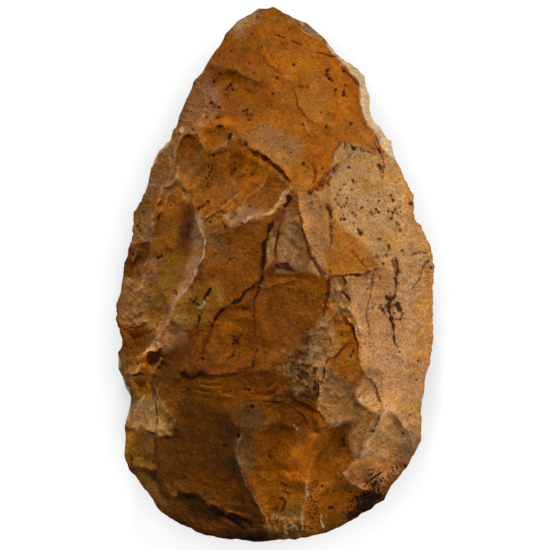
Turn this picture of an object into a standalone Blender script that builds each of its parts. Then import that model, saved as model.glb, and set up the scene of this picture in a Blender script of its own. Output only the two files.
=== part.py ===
"""A large hand axe of ochre-patinated flint, worked on both faces, lying on its flatter face.

The stone is one solid. Its outline is set by the cusps where neighbouring edge scars meet. Each face is
a crown, highest over the middle and thinner towards the tip, with flake scars cupped into it: where two
scars overlap the deeper one wins, which leaves the sharp crest between them. Hinge steps and crests that
the scars alone don't give are added along short curves. Sizes in the tables are millimetres, seen from
above with the tip towards +Y.
"""

import bmesh
import bpy
import numpy as np

MM = 0.001
LENGTH = 170.0
WIDTH = 101.2
EDGE_HEIGHT = 19.0  # of the cutting edge above the surface that the stone lies on
EDGE_WAVE = 1.3  # how far the edge wanders up and down
FLAT_SPOT_DEPTH = 19.0  # the underside is worn flat this far below the edge
UPPER_CROWN = 24.4
LOWER_CROWN = 22.5
CUP = 2.1  # strength of every scar's hollow
FADING = 2.2  # how far inside its border a hollow reaches most of its depth
LATTICE = 150  # squares along each side of the sheet that one face is shaped from
TRIANGLES = 9300

# How the crown's height falls away from the thickest part towards the butt and the tip.
CROWN_AT_Y = (-85, -60, -30, 0, 30, 60, 85)
CROWN_SHARE = (0.72, 0.91, 1.0, 0.98, 0.91, 0.72, 0.43)
BLUNTNESS = ((-85, 0.85), (10, 0.9))  # y, power of the crown's profile: the butt is blunter than the rest

# Cusps of the outline, clockwise from the tip: x, y, depth of the bite between this cusp and the next.
CUSPS = (
    (0.0, 85.0, 0.1), (4.5, 82.5, 0.0), (11.2, 79.2, 0.1), (15.2, 75.7, 0.0), (19.8, 70.3, 0.4),
    (26.6, 65.2, 0.2), (28.6, 62.7, 0.3), (30.4, 56.0, 0.2), (30.2, 51.8, 0.4), (33.6, 46.4, 0.5),
    (37.3, 42.4, 0.2), (37.6, 38.6, 0.0), (42.1, 29.2, 0.1), (44.3, 25.4, 0.2), (44.5, 17.3, -0.1),
    (46.6, 15.6, 0.2), (48.9, 10.4, -0.3), (50.7, 2.4, 0.1), (50.4, -8.0, 0.2), (50.6, -21.0, 0.3),
    (49.5, -28.5, 0.6), (47.7, -37.8, 0.2), (46.7, -43.5, -0.1), (46.6, -52.3, -0.2), (42.1, -61.8, 0.7),
    (34.9, -71.9, 0.2), (30.9, -74.9, 0.3), (22.2, -80.0, 0.1), (17.3, -82.2, -0.1), (7.0, -84.2, 0.0),
    (-0.4, -84.9, -0.1), (-5.3, -85.1, -0.3), (-21.6, -83.2, -0.5), (-36.0, -75.9, -0.1), (-40.0, -69.6, 0.0),
    (-42.3, -66.8, 0.2), (-46.2, -62.0, -0.2), (-47.6, -57.0, 0.3), (-47.5, -48.5, 0.3), (-45.6, -39.2, 0.1),
    (-49.4, -30.2, 0.3), (-49.8, -25.0, 0.6), (-48.4, -20.5, 0.0), (-50.4, -14.4, 0.2), (-50.3, -10.4, 0.2),
    (-48.0, -1.5, 0.4), (-48.1, 2.4, 0.3), (-45.2, 12.0, 0.1), (-44.7, 19.8, 0.2), (-41.4, 25.2, 0.4),
    (-39.4, 34.0, 0.2), (-36.2, 40.0, 0.8), (-32.0, 45.6, 0.3), (-28.0, 56.3, 0.2), (-25.6, 61.0, 0.3),
    (-18.6, 71.5, 0.3), (-15.6, 76.3, 0.3), (-11.9, 80.7, 0.2), (-5.2, 84.4, 0.1),
)

# Flake scars of the upper face: x, y, heading in degrees from +X, half length, half width, cupping.
UPPER_SCARS = (
    # tip and upper right
    (4, 70, 100, 26, 15, 0.5), (-11, 74, 60, 12, 6.5, 0.9), (-12, 56, 30, 16, 10, 0.7),
    (-23, 57, 70, 10, 5.5, 1.0), (-27, 49, 50, 7, 5, 1.1), (13, 56, 70, 11, 7, 0.5),
    (25, 57, 105, 10, 4.5, 1.0), (32, 45, 120, 10, 4.5, 1.0), (21, 68, 130, 9, 4, 1.0),
    (11, 78, 145, 8, 3.5, 1.0), (4, 42, 90, 20, 14, 0.45), (29, 21, 78, 22, 13.5, 0.9),
    (42, 18, 100, 12, 5, 1.0),
    # left shoulder
    (-18, 43, 20, 7.5, 5, 1.2), (-27.5, 37, 100, 10, 6, 1.4), (-8, 27, -25, 18, 10, 1.3),
    (-19, 33, 60, 9, 7, 1.0), (-15, 16, 10, 8, 4, 0.8),
    # left margin
    (-31, 8, 98, 23, 8.5, 1.5), (-42, 16, 80, 8, 4.5, 1.1), (-37.5, 31, 75, 8, 4.5, 1.0),
    (-42.5, 4, 60, 8, 4.5, 1.6), (-46, -11, 75, 10, 5.5, 1.1), (-38, -10, 110, 13, 6, 1.0),
    (-42.5, -21, 40, 8, 5.5, 1.6), (-31, -20, 60, 9, 7, 0.8), (-37.5, -28, 40, 4.5, 3.5, 1.6),
    (-46, -33, 100, 8, 3.5, 1.0), (-42, -36, 60, 6.5, 5, 1.2), (-42, -45, 80, 8, 5.5, 1.2),
    (-34, -46, 85, 8, 5, 0.7), (-43, -56, 90, 9, 7, 1.0), (-39, -69, -50, 10, 6, 1.3),
    # middle
    (-12, 3, 75, 20, 13, 0.35), (-25, -11, 60, 14, 8, 0.6), (-13, -20, 80, 15, 14, 0.4),
    (5, 8, 80, 9, 7, 0.7), (5, -12, 0, 15, 13, 0.4), (13, 13, 105, 14, 5.5, 0.3),
    (25, 6, 30, 10, 7, 0.6),
    # right
    (33, -14, 95, 18, 9, 0.5), (43, -15, 92, 20, 8, 0.8), (45, 3, 90, 10, 6, 0.9),
    (41, -34, 95, 13, 8, 0.7), (22, -20, 100, 9, 6, 1.6), (14, -24, 80, 10, 6, 0.8),
    # lower left
    (-25, -48, 80, 19, 14, 0.6), (-24, -66, 50, 14, 11, 0.8), (-8, -39, 0, 17, 9, 0.7),
    (-15, -80, -12, 17, 7, 1.5), (-30, -74, -30, 9, 5, 1.2),
    # lower right
    (27, -43, 70, 15, 7, 1.1), (30, -38.5, 60, 7, 5, 0.6), (38, -53, 60, 12, 8, 1.1),
    (31, -62, 45, 10, 7, 0.9), (10, -44, -30, 10, 6, 0.7), (17.5, -57, 65, 13, 7, 1.4),
    (-1, -63, 75, 16, 8, 0.8), (6, -78, 0, 12, 7, 1.1), (21, -74, 30, 10, 7.5, 1.0),
    (34, -71, 40, 8, 5, 1.0),
)

# Broad swellings left between the scars: x, y, heading, half length, half width, height.
SWELLINGS = (
    (37, -20, 95, 30, 12, 1.2),
    (13, 12, 105, 16, 7, 0.8),
)

# Crests and hinge steps of the upper face: kind, height, reach, points along it.
# A step stands up on the left of its run, seen from above, and eases back over its reach.
CRESTS = (
    ("crest", 1.0, 3, ((-20.5, 67.2), (-10.5, 63), (-3, 61.3))),
    ("step", 0.75, 4, ((-25, 45), (-21.5, 48), (-15.5, 45.3))),
    ("step", 1.6, 6, ((-9, 40.5), (0, 34), (5.5, 28.5))),
    ("crest", 1.1, 2.5, ((-22, 14), (-10, 16.5), (-2, 19.5), (4, 28))),
    ("step", 0.9, 3, ((-22, 13), (-10, 16), (-2, 19), (4.5, 27.5))),
    ("crest", 1.0, 2.5, ((-40, 1), (-38.5, 11), (-37, 21), (-34, 32))),
    ("crest", 1.6, 3, ((-36.5, -23.5), (-28, -5.5), (-22.3, 13), (-30, 24))),
    ("step", 1.6, 3, ((-40.5, -25.8), (-36.5, -24.8), (-35, -23))),
    ("crest", 1.1, 2.5, ((-39.5, -31.5), (-38.5, -35.5), (-33, -47))),
    ("crest", 0.9, 2.5, ((-37, -40), (-38, -50), (-38, -61))),
    ("step", 1.1, 2, ((-46, -49.3), (-37.5, -51), (-31, -48))),
    ("crest", 1.0, 2.5, ((-46.5, -61), (-38.3, -63), (-33, -76))),
    ("step", 1.1, 5, ((-32.5, -70.5), (-23, -72), (-7, -78))),
    ("crest", 1.4, 3, ((-11.5, -50), (-11, -60), (-1.5, -82))),
    ("step", 1.0, 4, ((-31, -30.2), (-19, -31.8), (-5.7, -28.5))),
    ("step", 1.0, 4.5, ((6.9, 24.8), (12.1, 5), (16.5, -0.2))),
    ("step", 0.8, 4, ((16.5, -0.2), (24, -0.5), (33, 2.5))),
    ("step", 0.8, 4, ((16.7, -1), (22.5, -14), (28.5, -33))),
    ("step", 1.8, 5, ((12, -49.5), (21, -46.5), (25, -48))),
    ("crest", 1.3, 3, ((12, -49), (4, -60), (1, -76))),
    ("crest", 0.9, 2.5, ((35, -42), (28.5, -56), (21.7, -63.2))),
    ("crest", 1.0, 2.5, ((37, -42.5), (44.5, -53.5))),
    ("crest", 0.9, 2.5, ((21.7, -63.2), (31, -69.5), (38, -68))),
    ("step", 0.55, 3, ((4, -38), (17, -48))),
)

# Hollows with a border of their own: depth, points round it.
HOLLOWS = (
    (1.1, ((-20.5, 66.8), (-8, 61.5), (-1, 54), (-4, 48), (-12, 48), (-17, 52))),
    (1.7, ((-25, 45), (-21.5, 48), (-14, 43.5), (-19.5, 38), (-22, 41))),
    (1.4, ((-30, 44), (-26, 44), (-22, 40), (-25, 29), (-29, 29), (-31.5, 35))),
    (1.4, ((-14, 43), (0, 34), (5, 28), (1, 22), (-6, 17), (-23, 14), (-26, 20), (-25, 29), (-19, 38))),
    (1.5, ((-36, 26), (-25, 20), (-22.5, 11), (-30.5, -9), (-36.5, -23.5), (-38, -14), (-39, 11))),
    (1.8, ((-46, 9), (-39.5, 10), (-40, 1), (-42, -3), (-47, -2))),
    (1.7, ((-49, -17), (-41, -17), (-36.5, -23.5), (-41, -26), (-50, -26))),
    (1.1, ((-15, -10.5), (-6, -8), (-5.5, -21), (-13, -31), (-22, -30), (-21.5, -20))),
    (0.9, ((18, 34), (23, 41), (33, 37), (39, 16), (38, 2), (30, 8), (18.5, 20))),
    (0.8, ((18, -14), (22, -12), (25.5, -22), (27, -33), (18, -32), (16, -27), (20, -23.5))),
    (1.1, ((-36.5, -25), (-25, -33), (-11, -43), (-12, -54), (-4, -75), (-18, -74), (-33, -70), (-38, -50.5),
           (-33, -43))),
    (1.8, ((-33, -77), (-32.5, -70.5), (-27, -69.5), (-18, -74), (-8, -78), (-2, -86), (-22, -86))),
    (2.0, ((-47, -62), (-38, -63.5), (-32.8, -71), (-33, -78), (-42, -71))),
    (1.4, ((-49, -51), (-38, -50.5), (-38, -61.5), (-45, -61.5))),
    (1.4, ((-46, -41), (-38, -42), (-38, -50), (-48, -48))),
    (2.0, ((-46, -33), (-40, -32.5), (-38.5, -39.5), (-45, -38))),
    (0.9, ((-11.5, -42), (4, -40), (4, -60), (-1.5, -84), (-7, -69), (-12, -54))),
    (1.4, ((12, -49), (16, -49), (13, -57), (11, -66), (5, -64), (6, -54))),
    (1.5, ((16, -49), (21, -46.5), (24, -54), (26, -58), (22, -63), (13, -67), (15, -56))),
    (1.4, ((25.5, -37), (28, -33), (33.5, -38), (34, -42), (31, -44))),
    (1.4, ((36.5, -42.5), (31, -51), (29.5, -58), (43, -59), (44.5, -54))),
    (1.1, ((12, -66), (21.7, -63.5), (31, -70), (36, -74), (22, -82), (10, -85))),
)

# The underside is plainer: rings of scars struck inwards from all round the edge.
# Each ring: number, distance from the middle as a share of the outline, half length, half width, cupping.
LOWER_RINGS = (
    (17, 0.80, 13, 8.0, 1.0),
    (9, 0.50, 17, 12.0, 0.7),
)

# Unevenness too small to be a scar: spacing, height.
UNEVENNESS = ((9, 0.5), (4, 0.15))
WANDER = ((9, 0.9),)  # how borders and crests waver from their drawn run: spacing, width


def hashed(a, b, seed):
    """A fixed number from 0 to 1 for each pair of whole numbers."""
    n = (np.asarray(a, np.int64) * 374761393 + np.asarray(b, np.int64) * 668265263 + seed * 974711) & 0xFFFFFFFF
    n = ((n ^ (n >> 13)) * 1274126177) & 0xFFFFFFFF
    return ((n ^ (n >> 16)) & 0xFFFF) / 65535.0


def uneven(x, y, spacing, seed):
    """Smooth gradient noise, about -1 to 1."""
    x, y = x / spacing, y / spacing
    column, row = np.floor(x), np.floor(y)
    u, v = x - column, y - row

    def corner(right, up):
        angle = 2 * np.pi * hashed(column + right, row + up, seed)
        return np.cos(angle) * (u - right) + np.sin(angle) * (v - up)

    ease_u, ease_v = (t * t * t * (t * (t * 6 - 15) + 10) for t in (u, v))
    low = corner(0, 0) + ease_u * (corner(1, 0) - corner(0, 0))
    high = corner(0, 1) + ease_u * (corner(1, 1) - corner(0, 1))
    return 1.5 * (low + ease_v * (high - low))


def eased(t):
    t = np.clip(t, 0, 1)
    return t * t * (3 - 2 * t)


def outline():
    """The edge seen from above: shallow concave bites between the cusps, fitted to LENGTH and WIDTH."""
    points = []
    for i, (x, y, bite) in enumerate(CUSPS):
        start, end = np.array((x, y)), np.array(CUSPS[(i + 1) % len(CUSPS)][:2])
        chord = np.hypot(*(end - start))
        inward = (end - start)[::-1] * (1, -1) / chord
        for t in np.linspace(0, 1, max(2, round(2 * chord)), endpoint=False):
            points.append(start + t * (end - start) + inward * bite * 4 * t * (1 - t))
    points = np.array(points)
    low, high = points.min(axis=0), points.max(axis=0)
    return (points - (low + high) / 2) * (WIDTH, LENGTH) / (high - low)


class Edge:
    """The outline as a radius for each direction from the middle, true and smoothed."""

    def __init__(self, samples=1440, softening=61):
        points = outline()
        self.direction = np.linspace(-np.pi, np.pi, samples, endpoint=False)
        self.true = np.interp(
            self.direction,
            *zip(*sorted(zip(np.arctan2(points[:, 1], points[:, 0]), np.hypot(*points.T)))),
            period=2 * np.pi,
        )
        window = np.hanning(softening) / np.hanning(softening).sum()
        wrapped = np.concatenate([self.true[-(softening // 2):], self.true, self.true[:softening // 2]])
        self.soft = np.convolve(wrapped, window, "valid")

    def radius(self, angle, share):
        """Bites in the edge die out inwards, so that they leave no spokes across the faces."""
        true = np.interp(angle, self.direction, self.true, period=2 * np.pi)
        soft = np.interp(angle, self.direction, self.soft, period=2 * np.pi)
        return soft + (true - soft) * share**6


def scar_depth(x, y, scars):
    """Depth of the deepest scar at each point. A scar is a shallow elliptical spoon."""
    deepest = np.zeros_like(x)
    for at_x, at_y, heading, half_length, half_width, cupping in scars:
        c, s = np.cos(np.radians(heading)), np.sin(np.radians(heading))
        along = ((x - at_x) * c + (y - at_y) * s) / half_length
        across = ((y - at_y) * c - (x - at_x) * s) / half_width
        depth = (0.6 + 0.17 * half_width * cupping) * (1 - along**2 - across**2)
        deepest = np.maximum(deepest, depth)
    return CUP * deepest


def smooth_run(points, between=4):
    """A smooth curve through the points."""
    p = np.array(points, float)
    if len(p) < 3:
        return p
    p = np.vstack([2 * p[0] - p[1], p, 2 * p[-1] - p[-2]])
    run = []
    for a, b, c, d in zip(p, p[1:], p[2:], p[3:]):
        for t in np.arange(between) / between:
            run.append(b + 0.5 * t * (c - a + t * (2 * a - 5 * b + 4 * c - d + t * (3 * (b - c) + d - a))))
    return np.array(run + [p[-2]])


def beside(points, x, y):
    """Distance to a curve, positive on the left of its run, and the place along it from 0 to 1."""
    run = smooth_run(points)
    nearest, signed, place = np.full(x.shape, np.inf), np.zeros_like(x), np.zeros_like(x)
    lengths = np.hypot(*np.diff(run, axis=0).T)
    done = 0.0
    for start, end, length in zip(run, run[1:], lengths):
        ux, uy = (end - start) / length
        rx, ry = x - start[0], y - start[1]
        t = np.clip(rx * ux + ry * uy, 0, length)
        distance = np.hypot(rx - t * ux, ry - t * uy)
        closer = distance < nearest
        nearest[closer] = distance[closer]
        signed[closer] = (distance * np.where(ux * ry < uy * rx, -1, 1))[closer]
        place[closer] = (done + t[closer]) / lengths.sum()
        done += length
    return signed, place


def within(points, x, y):
    """How far inside a closed border each point is, and 0 outside it."""
    nearest, inside = np.full(x.shape, np.inf), np.zeros(x.shape, bool)
    for (ax, ay), (bx, by) in zip(points, points[1:] + points[:1]):
        ux, uy = bx - ax, by - ay
        t = np.clip(((x - ax) * ux + (y - ay) * uy) / (ux * ux + uy * uy), 0, 1)
        nearest = np.minimum(nearest, np.hypot(x - ax - t * ux, y - ay - t * uy))
        if uy:
            inside ^= ((ay > y) != (by > y)) & (x < ux * (y - ay) / uy + ax)
    return np.where(inside, nearest, 0)


def hollowed(x, y):
    return sum(depth * (1 - np.exp(-within(points, x, y) / FADING)) for depth, points in HOLLOWS)


def crests_and_steps(x, y):
    crest, step = np.zeros_like(x), np.zeros_like(x)
    for kind, height, reach, points in CRESTS:
        signed, place = beside(points, x, y)
        fall = height * np.exp(-np.abs(signed) / reach)
        fall = fall * eased(place * 6 + 0.15) * eased((1 - place) * 6 + 0.15)
        if kind == "crest":
            crest += fall**2
        else:
            step += fall * eased(signed / 0.9 + 0.5)
    return np.sqrt(crest) + step


def crown(x, y, share, height):
    return height * np.interp(y, CROWN_AT_Y, CROWN_SHARE) * (1 - share**1.9) ** np.interp(y, *zip(*BLUNTNESS))


def worked(height, depth, fine):
    """Scars never cut the crown down to nothing near the edge, and the finer relief fades out there."""
    room = 0.7 * np.maximum(height, 1e-6)
    return height + room * np.expm1(-depth / room) + fine * eased(height / 2.5)


def upper_face(x, y, share):
    wx, wy = x.copy(), y.copy()
    for spacing, width in WANDER:
        wx += width * uneven(x, y, spacing, 11)
        wy += width * uneven(x, y, spacing, 13)
    fine = crests_and_steps(wx, wy) - hollowed(wx, wy)
    for at_x, at_y, heading, half_length, half_width, height in SWELLINGS:
        c, s = np.cos(np.radians(heading)), np.sin(np.radians(heading))
        along = ((x - at_x) * c + (y - at_y) * s) / half_length
        across = ((y - at_y) * c - (x - at_x) * s) / half_width
        fine += height * np.exp(-along**2 - across**2)
    for seed, (spacing, height) in enumerate(UNEVENNESS, 1):
        fine += height * uneven(x, y, spacing, seed)
    return worked(crown(x, y, share, UPPER_CROWN), scar_depth(wx, wy, UPPER_SCARS), fine)


def lower_scars(edge):
    scars = []
    for ring, (number, distance, half_length, half_width, cupping) in enumerate(LOWER_RINGS):
        for i in range(number):
            a, b, c = (hashed(i, ring, seed) - 0.5 for seed in (21, 22, 23))
            angle = (i + 0.5 * a) * 2 * np.pi / number
            away = (distance + 0.12 * b) * edge.radius(angle, 0)
            heading = np.degrees(angle) + 50 * c
            size = 1 + 0.5 * a
            scars.append((away * np.cos(angle), away * np.sin(angle), heading,
                          half_length * size, half_width * size, cupping * (1 + b)))
    return scars


def lower_face(x, y, share, edge):
    fine = sum(height * uneven(x, y, spacing, seed) for seed, (spacing, height) in enumerate(UNEVENNESS, 31))
    return worked(crown(x, y, share, LOWER_CROWN), scar_depth(x, y, lower_scars(edge)), fine)


def edge_height(angle, share):
    """The edge isn't level: it wanders gently as flakes were struck from one face and then the other."""
    wave = 0.6 * np.sin(2 * angle + 0.7) + 0.4 * np.sin(7 * angle) + 0.3 * np.sin(17 * angle + 1.0)
    return EDGE_HEIGHT + EDGE_WAVE * wave * share**3


def face_sheet(name, edge, upward):
    """A square sheet of small squares, rounded to a disc, stretched to the outline and given its height."""
    sheet = bmesh.new()
    bmesh.ops.create_grid(sheet, x_segments=LATTICE, y_segments=LATTICE, size=1)
    square = np.array([vertex.co[:] for vertex in sheet.verts])
    disc_x = square[:, 0] * np.sqrt(1 - square[:, 1] ** 2 / 2)
    disc_y = square[:, 1] * np.sqrt(1 - square[:, 0] ** 2 / 2)
    share, angle = np.clip(np.hypot(disc_x, disc_y), 0, 1), np.arctan2(disc_y, disc_x)
    radius = share * edge.radius(angle, share)
    x, y = radius * np.cos(angle), radius * np.sin(angle)
    if upward:
        z = edge_height(angle, share) + upper_face(x, y, share)
    else:
        z = edge_height(angle, share) - lower_face(x, y, share, edge)
        bmesh.ops.reverse_faces(sheet, faces=sheet.faces)
    rim = np.abs(square[:, :2]).max(axis=1) > 1 - 1e-6
    z[rim] = edge_height(angle, 1.0)[rim]
    for vertex, place in zip(sheet.verts, np.stack([x, y, z], axis=1) * MM):
        vertex.co = place
    mesh = bpy.data.meshes.new(name)
    sheet.to_mesh(mesh)
    sheet.free()
    return mesh


def flint():
    material = bpy.data.materials.new("ochre_patinated_flint")
    material.use_nodes = True
    shader = material.node_tree.nodes["Principled BSDF"]
    shader.inputs["Base Color"].default_value = (0.25, 0.105, 0.024, 1)
    shader.inputs["Roughness"].default_value = 0.5
    shader.inputs["Metallic"].default_value = 0.0
    return material


def hand_axe():
    edge = Edge()
    both = bmesh.new()
    for name, upward in (("upper_face", True), ("lower_face", False)):
        mesh = face_sheet(name, edge, upward)
        both.from_mesh(mesh)
        bpy.data.meshes.remove(mesh)
    bmesh.ops.remove_doubles(both, verts=both.verts, dist=0.001 * MM)
    bmesh.ops.triangulate(both, faces=both.faces)
    faces = len(both.faces)
    mesh = bpy.data.meshes.new("hand_axe")
    both.to_mesh(mesh)
    both.free()
    stone = bpy.data.objects.new("hand_axe", mesh)
    bpy.context.scene.collection.objects.link(stone)
    mesh.materials.append(flint())
    thin = stone.modifiers.new("fewer_faces", "DECIMATE")
    thin.ratio = TRIANGLES / faces
    return stone


def flat_spot(stone):
    """The worn patch that the stone lies on: everything below the resting surface is cut away."""
    bpy.ops.mesh.primitive_cube_add(size=1)
    cutter = bpy.context.object
    cutter.name = "flat_spot_cutter"
    cutter.dimensions = (2 * WIDTH * MM, 2 * LENGTH * MM, 20 * MM)
    cutter.location = (0, 0, (EDGE_HEIGHT - FLAT_SPOT_DEPTH - 10) * MM)
    cutter.hide_render = True
    cutter.display_type = "WIRE"
    cut = stone.modifiers.new("flat_spot", "BOOLEAN")
    cut.operation = "DIFFERENCE"
    cut.object = cutter


for old in list(bpy.data.objects):
    bpy.data.objects.remove(old)
flat_spot(hand_axe())
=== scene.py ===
"""A hand axe of ochre-patinated flint, lying on its flatter face.

The stone is one piece, knapped on both faces. Each face is a crown with flake scars cupped into it: the
deepest scar wins, which leaves a sharp crest where two meet. Every scar has the colour that its surface
has weathered to, and in places that colour is painted lighter and darker as painted light and shade on
relief that isn't modelled. Dark manganese, iron red and the cream of fresh chips follow cracks, crests and
the edge; some dark lines are painted shadow at the feet of steps, and the pale crests and some cream lines
are partly painted highlights. Sizes and places in the tables are millimetres, seen from above with the tip
towards +Y.
"""

import math
from functools import partial

import bpy
import numpy as np
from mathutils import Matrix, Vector


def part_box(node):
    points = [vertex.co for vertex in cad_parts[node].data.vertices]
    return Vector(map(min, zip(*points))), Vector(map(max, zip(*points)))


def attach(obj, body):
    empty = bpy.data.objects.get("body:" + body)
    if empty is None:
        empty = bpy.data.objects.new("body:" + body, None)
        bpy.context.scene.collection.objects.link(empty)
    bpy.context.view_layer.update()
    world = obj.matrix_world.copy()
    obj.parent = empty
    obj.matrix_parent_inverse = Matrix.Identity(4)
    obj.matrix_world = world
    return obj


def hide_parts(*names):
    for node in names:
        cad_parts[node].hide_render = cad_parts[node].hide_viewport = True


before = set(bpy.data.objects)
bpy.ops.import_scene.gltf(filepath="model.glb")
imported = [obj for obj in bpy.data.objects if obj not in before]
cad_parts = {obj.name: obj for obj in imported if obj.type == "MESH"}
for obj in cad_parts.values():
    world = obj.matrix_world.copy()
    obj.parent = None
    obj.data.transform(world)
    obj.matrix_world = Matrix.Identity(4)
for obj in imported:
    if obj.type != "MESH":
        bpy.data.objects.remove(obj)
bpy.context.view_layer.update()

# ---------------------------------------------------------------- sizes, from the frame
LOW, HIGH = (np.array(corner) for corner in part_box("hand_axe"))
TABLE_LENGTH, TABLE_WIDTH = 170.0, 101.2  # the size, in millimetres, that the tables below are written for
UNIT = (HIGH[1] - LOW[1]) / TABLE_LENGTH  # one millimetre of the tables, in metres
MIDDLE = np.array(((LOW[0] + HIGH[0]) / 2, (LOW[1] + HIGH[1]) / 2, LOW[2]))

# Each light: name, azimuth, elevation, distance, size, power.
SOFT_LIGHTS = (
    ("key_softbox", 95, 42, 1.4, 0.15, 13),
    ("right_softbox", 22, 32, 1.4, 0.2, 8.5),
)
WORLD_LIGHT = 0.12
FLOOR_SIZE = 6  # metres
FLOOR_GAP = 0.00005  # metres between the stone and the floor
CAMERA_AWAY = 1.2  # metres
SENSOR_WIDTH = 36
VIEW_WIDTH = 174.9
VIEW_MIDDLE = (0.08, -0.24)

# ---------------------------------------------------------------- the stone's form
UPPER_SQUARES = (208, 350)  # across and along the sheet that becomes a face
LOWER_SQUARES = (104, 175)
EDGE_HEIGHT = 19.0
EDGE_WAVE = 1.3
EDGE_WAVES = ((2, 0.6, 0.7), (7, 0.4, 0), (17, 0.3, 1.0))  # number round the edge, share, start
NICKS = ((3.1, 0.35), (1.3, 0.22))  # spacing and depth of the finest nicks in the edge
NICK_RING = 60  # radius of the ring that the nicks are strewn along
UPPER_CROWN = 24.4
LOWER_CROWN = 22.5
CUP = 2.1  # deepens all the scars
SHALLOWEST = 0.6  # a scar's depth before its width is counted
CUPPED = 0.17  # how much deeper a scar is for each millimetre of its half width
COLOUR_BLEND = 0.06  # difference in depth over which one scar's colour gives way to the next
WEAR_AND_HIGHLIGHT_REACH = 0.14  # difference in depth over which a crest between two scars is worn and painted paler as a highlight
STRUCK_AT = 1.15  # where a flake was struck, in half lengths from the middle of its scar
RIPPLE_SPACING = 3.4
RIPPLE = 0.05  # how high the ripples in all the scars stand

CROWN_AT_Y = (-85, -60, -30, 0, 30, 60, 85)
CROWN_SHARE = (0.72, 0.91, 1.0, 0.98, 0.91, 0.72, 0.43)
BLUNTNESS = ((-85, 0.85), (10, 0.9))

# Cusps of the outline, clockwise from the tip: x, y, depth of the bite between this cusp and the next.
CUSPS = (
    (0, 85, 0.1), (4.5, 82.5, 0), (11.2, 79.2, 0.1), (15.2, 75.7, 0), (19.8, 70.3, 0.4),
    (26.6, 65.2, 0.2), (28.6, 62.7, 0.3), (30.4, 56, 0.2), (30.2, 51.8, 0.4), (33.6, 46.4, 0.5),
    (37.3, 42.4, 0.2), (37.6, 38.6, 0), (42.1, 29.2, 0.1), (44.3, 25.4, 0.2), (44.5, 17.3, -0.1),
    (46.6, 15.6, 0.2), (48.9, 10.4, -0.3), (50.7, 2.4, 0.1), (50.4, -8, 0.2), (50.6, -21, 0.3),
    (49.5, -28.5, 0.6), (47.7, -37.8, 0.2), (46.7, -43.5, -0.1), (46.6, -52.3, -0.2), (42.1, -61.8, 0.7),
    (34.9, -71.9, 0.2), (30.9, -74.9, 0.3), (22.2, -80, 0.1), (17.3, -82.2, -0.1), (7, -84.2, 0),
    (-0.4, -84.9, -0.1), (-5.3, -85.1, -0.3), (-21.6, -83.2, -0.5), (-36, -75.9, -0.1), (-40, -69.6, 0),
    (-42.3, -66.8, 0.2), (-46.2, -62, -0.2), (-47.6, -57, 0.3), (-47.5, -48.5, 0.3), (-45.6, -39.2, 0.1),
    (-49.4, -30.2, 0.3), (-49.8, -25, 0.6), (-48.4, -20.5, 0), (-50.4, -14.4, 0.2), (-50.3, -10.4, 0.2),
    (-48, -1.5, 0.4), (-48.1, 2.4, 0.3), (-45.2, 12, 0.1), (-44.7, 19.8, 0.2), (-41.4, 25.2, 0.4),
    (-39.4, 34, 0.2), (-36.2, 40, 0.8), (-32, 45.6, 0.3), (-28, 56.3, 0.2), (-25.6, 61, 0.3),
    (-18.6, 71.5, 0.3), (-15.6, 76.3, 0.3), (-11.9, 80.7, 0.2), (-5.2, 84.4, 0.1),
)

# What the flint has weathered to.
PATINA = {
    "honey": "9f6216", "gold": "9a5706", "orange": "bb680c", "ginger": "a55c07", "amber": "874a05",
    "ochre": "905613", "tawny": "804606", "rust": "7b470a", "umber": "6c3d08", "walnut": "5b360d",
    "bistre": "4a2805", "hazel": "87551b", "taupe": "754e22", "olive": "98651f", "fawn": "8f6233",
    "rose": "98653b", "sand": "a5743f", "clay": "b5763d", "dun": "ba8852", "biscuit": "b28852",
    "wheat": "bc894e", "salmon": "bd8855", "apricot": "c18649",
    "buff": "c28f53", "straw": "d29a5c", "shell": "b5845a", "blush": "c4905f", "chalk": "d8bd92",
    "flax": "9e7a4e", "olivegold": "86611a", "sepia": "512c0e",
}

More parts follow.
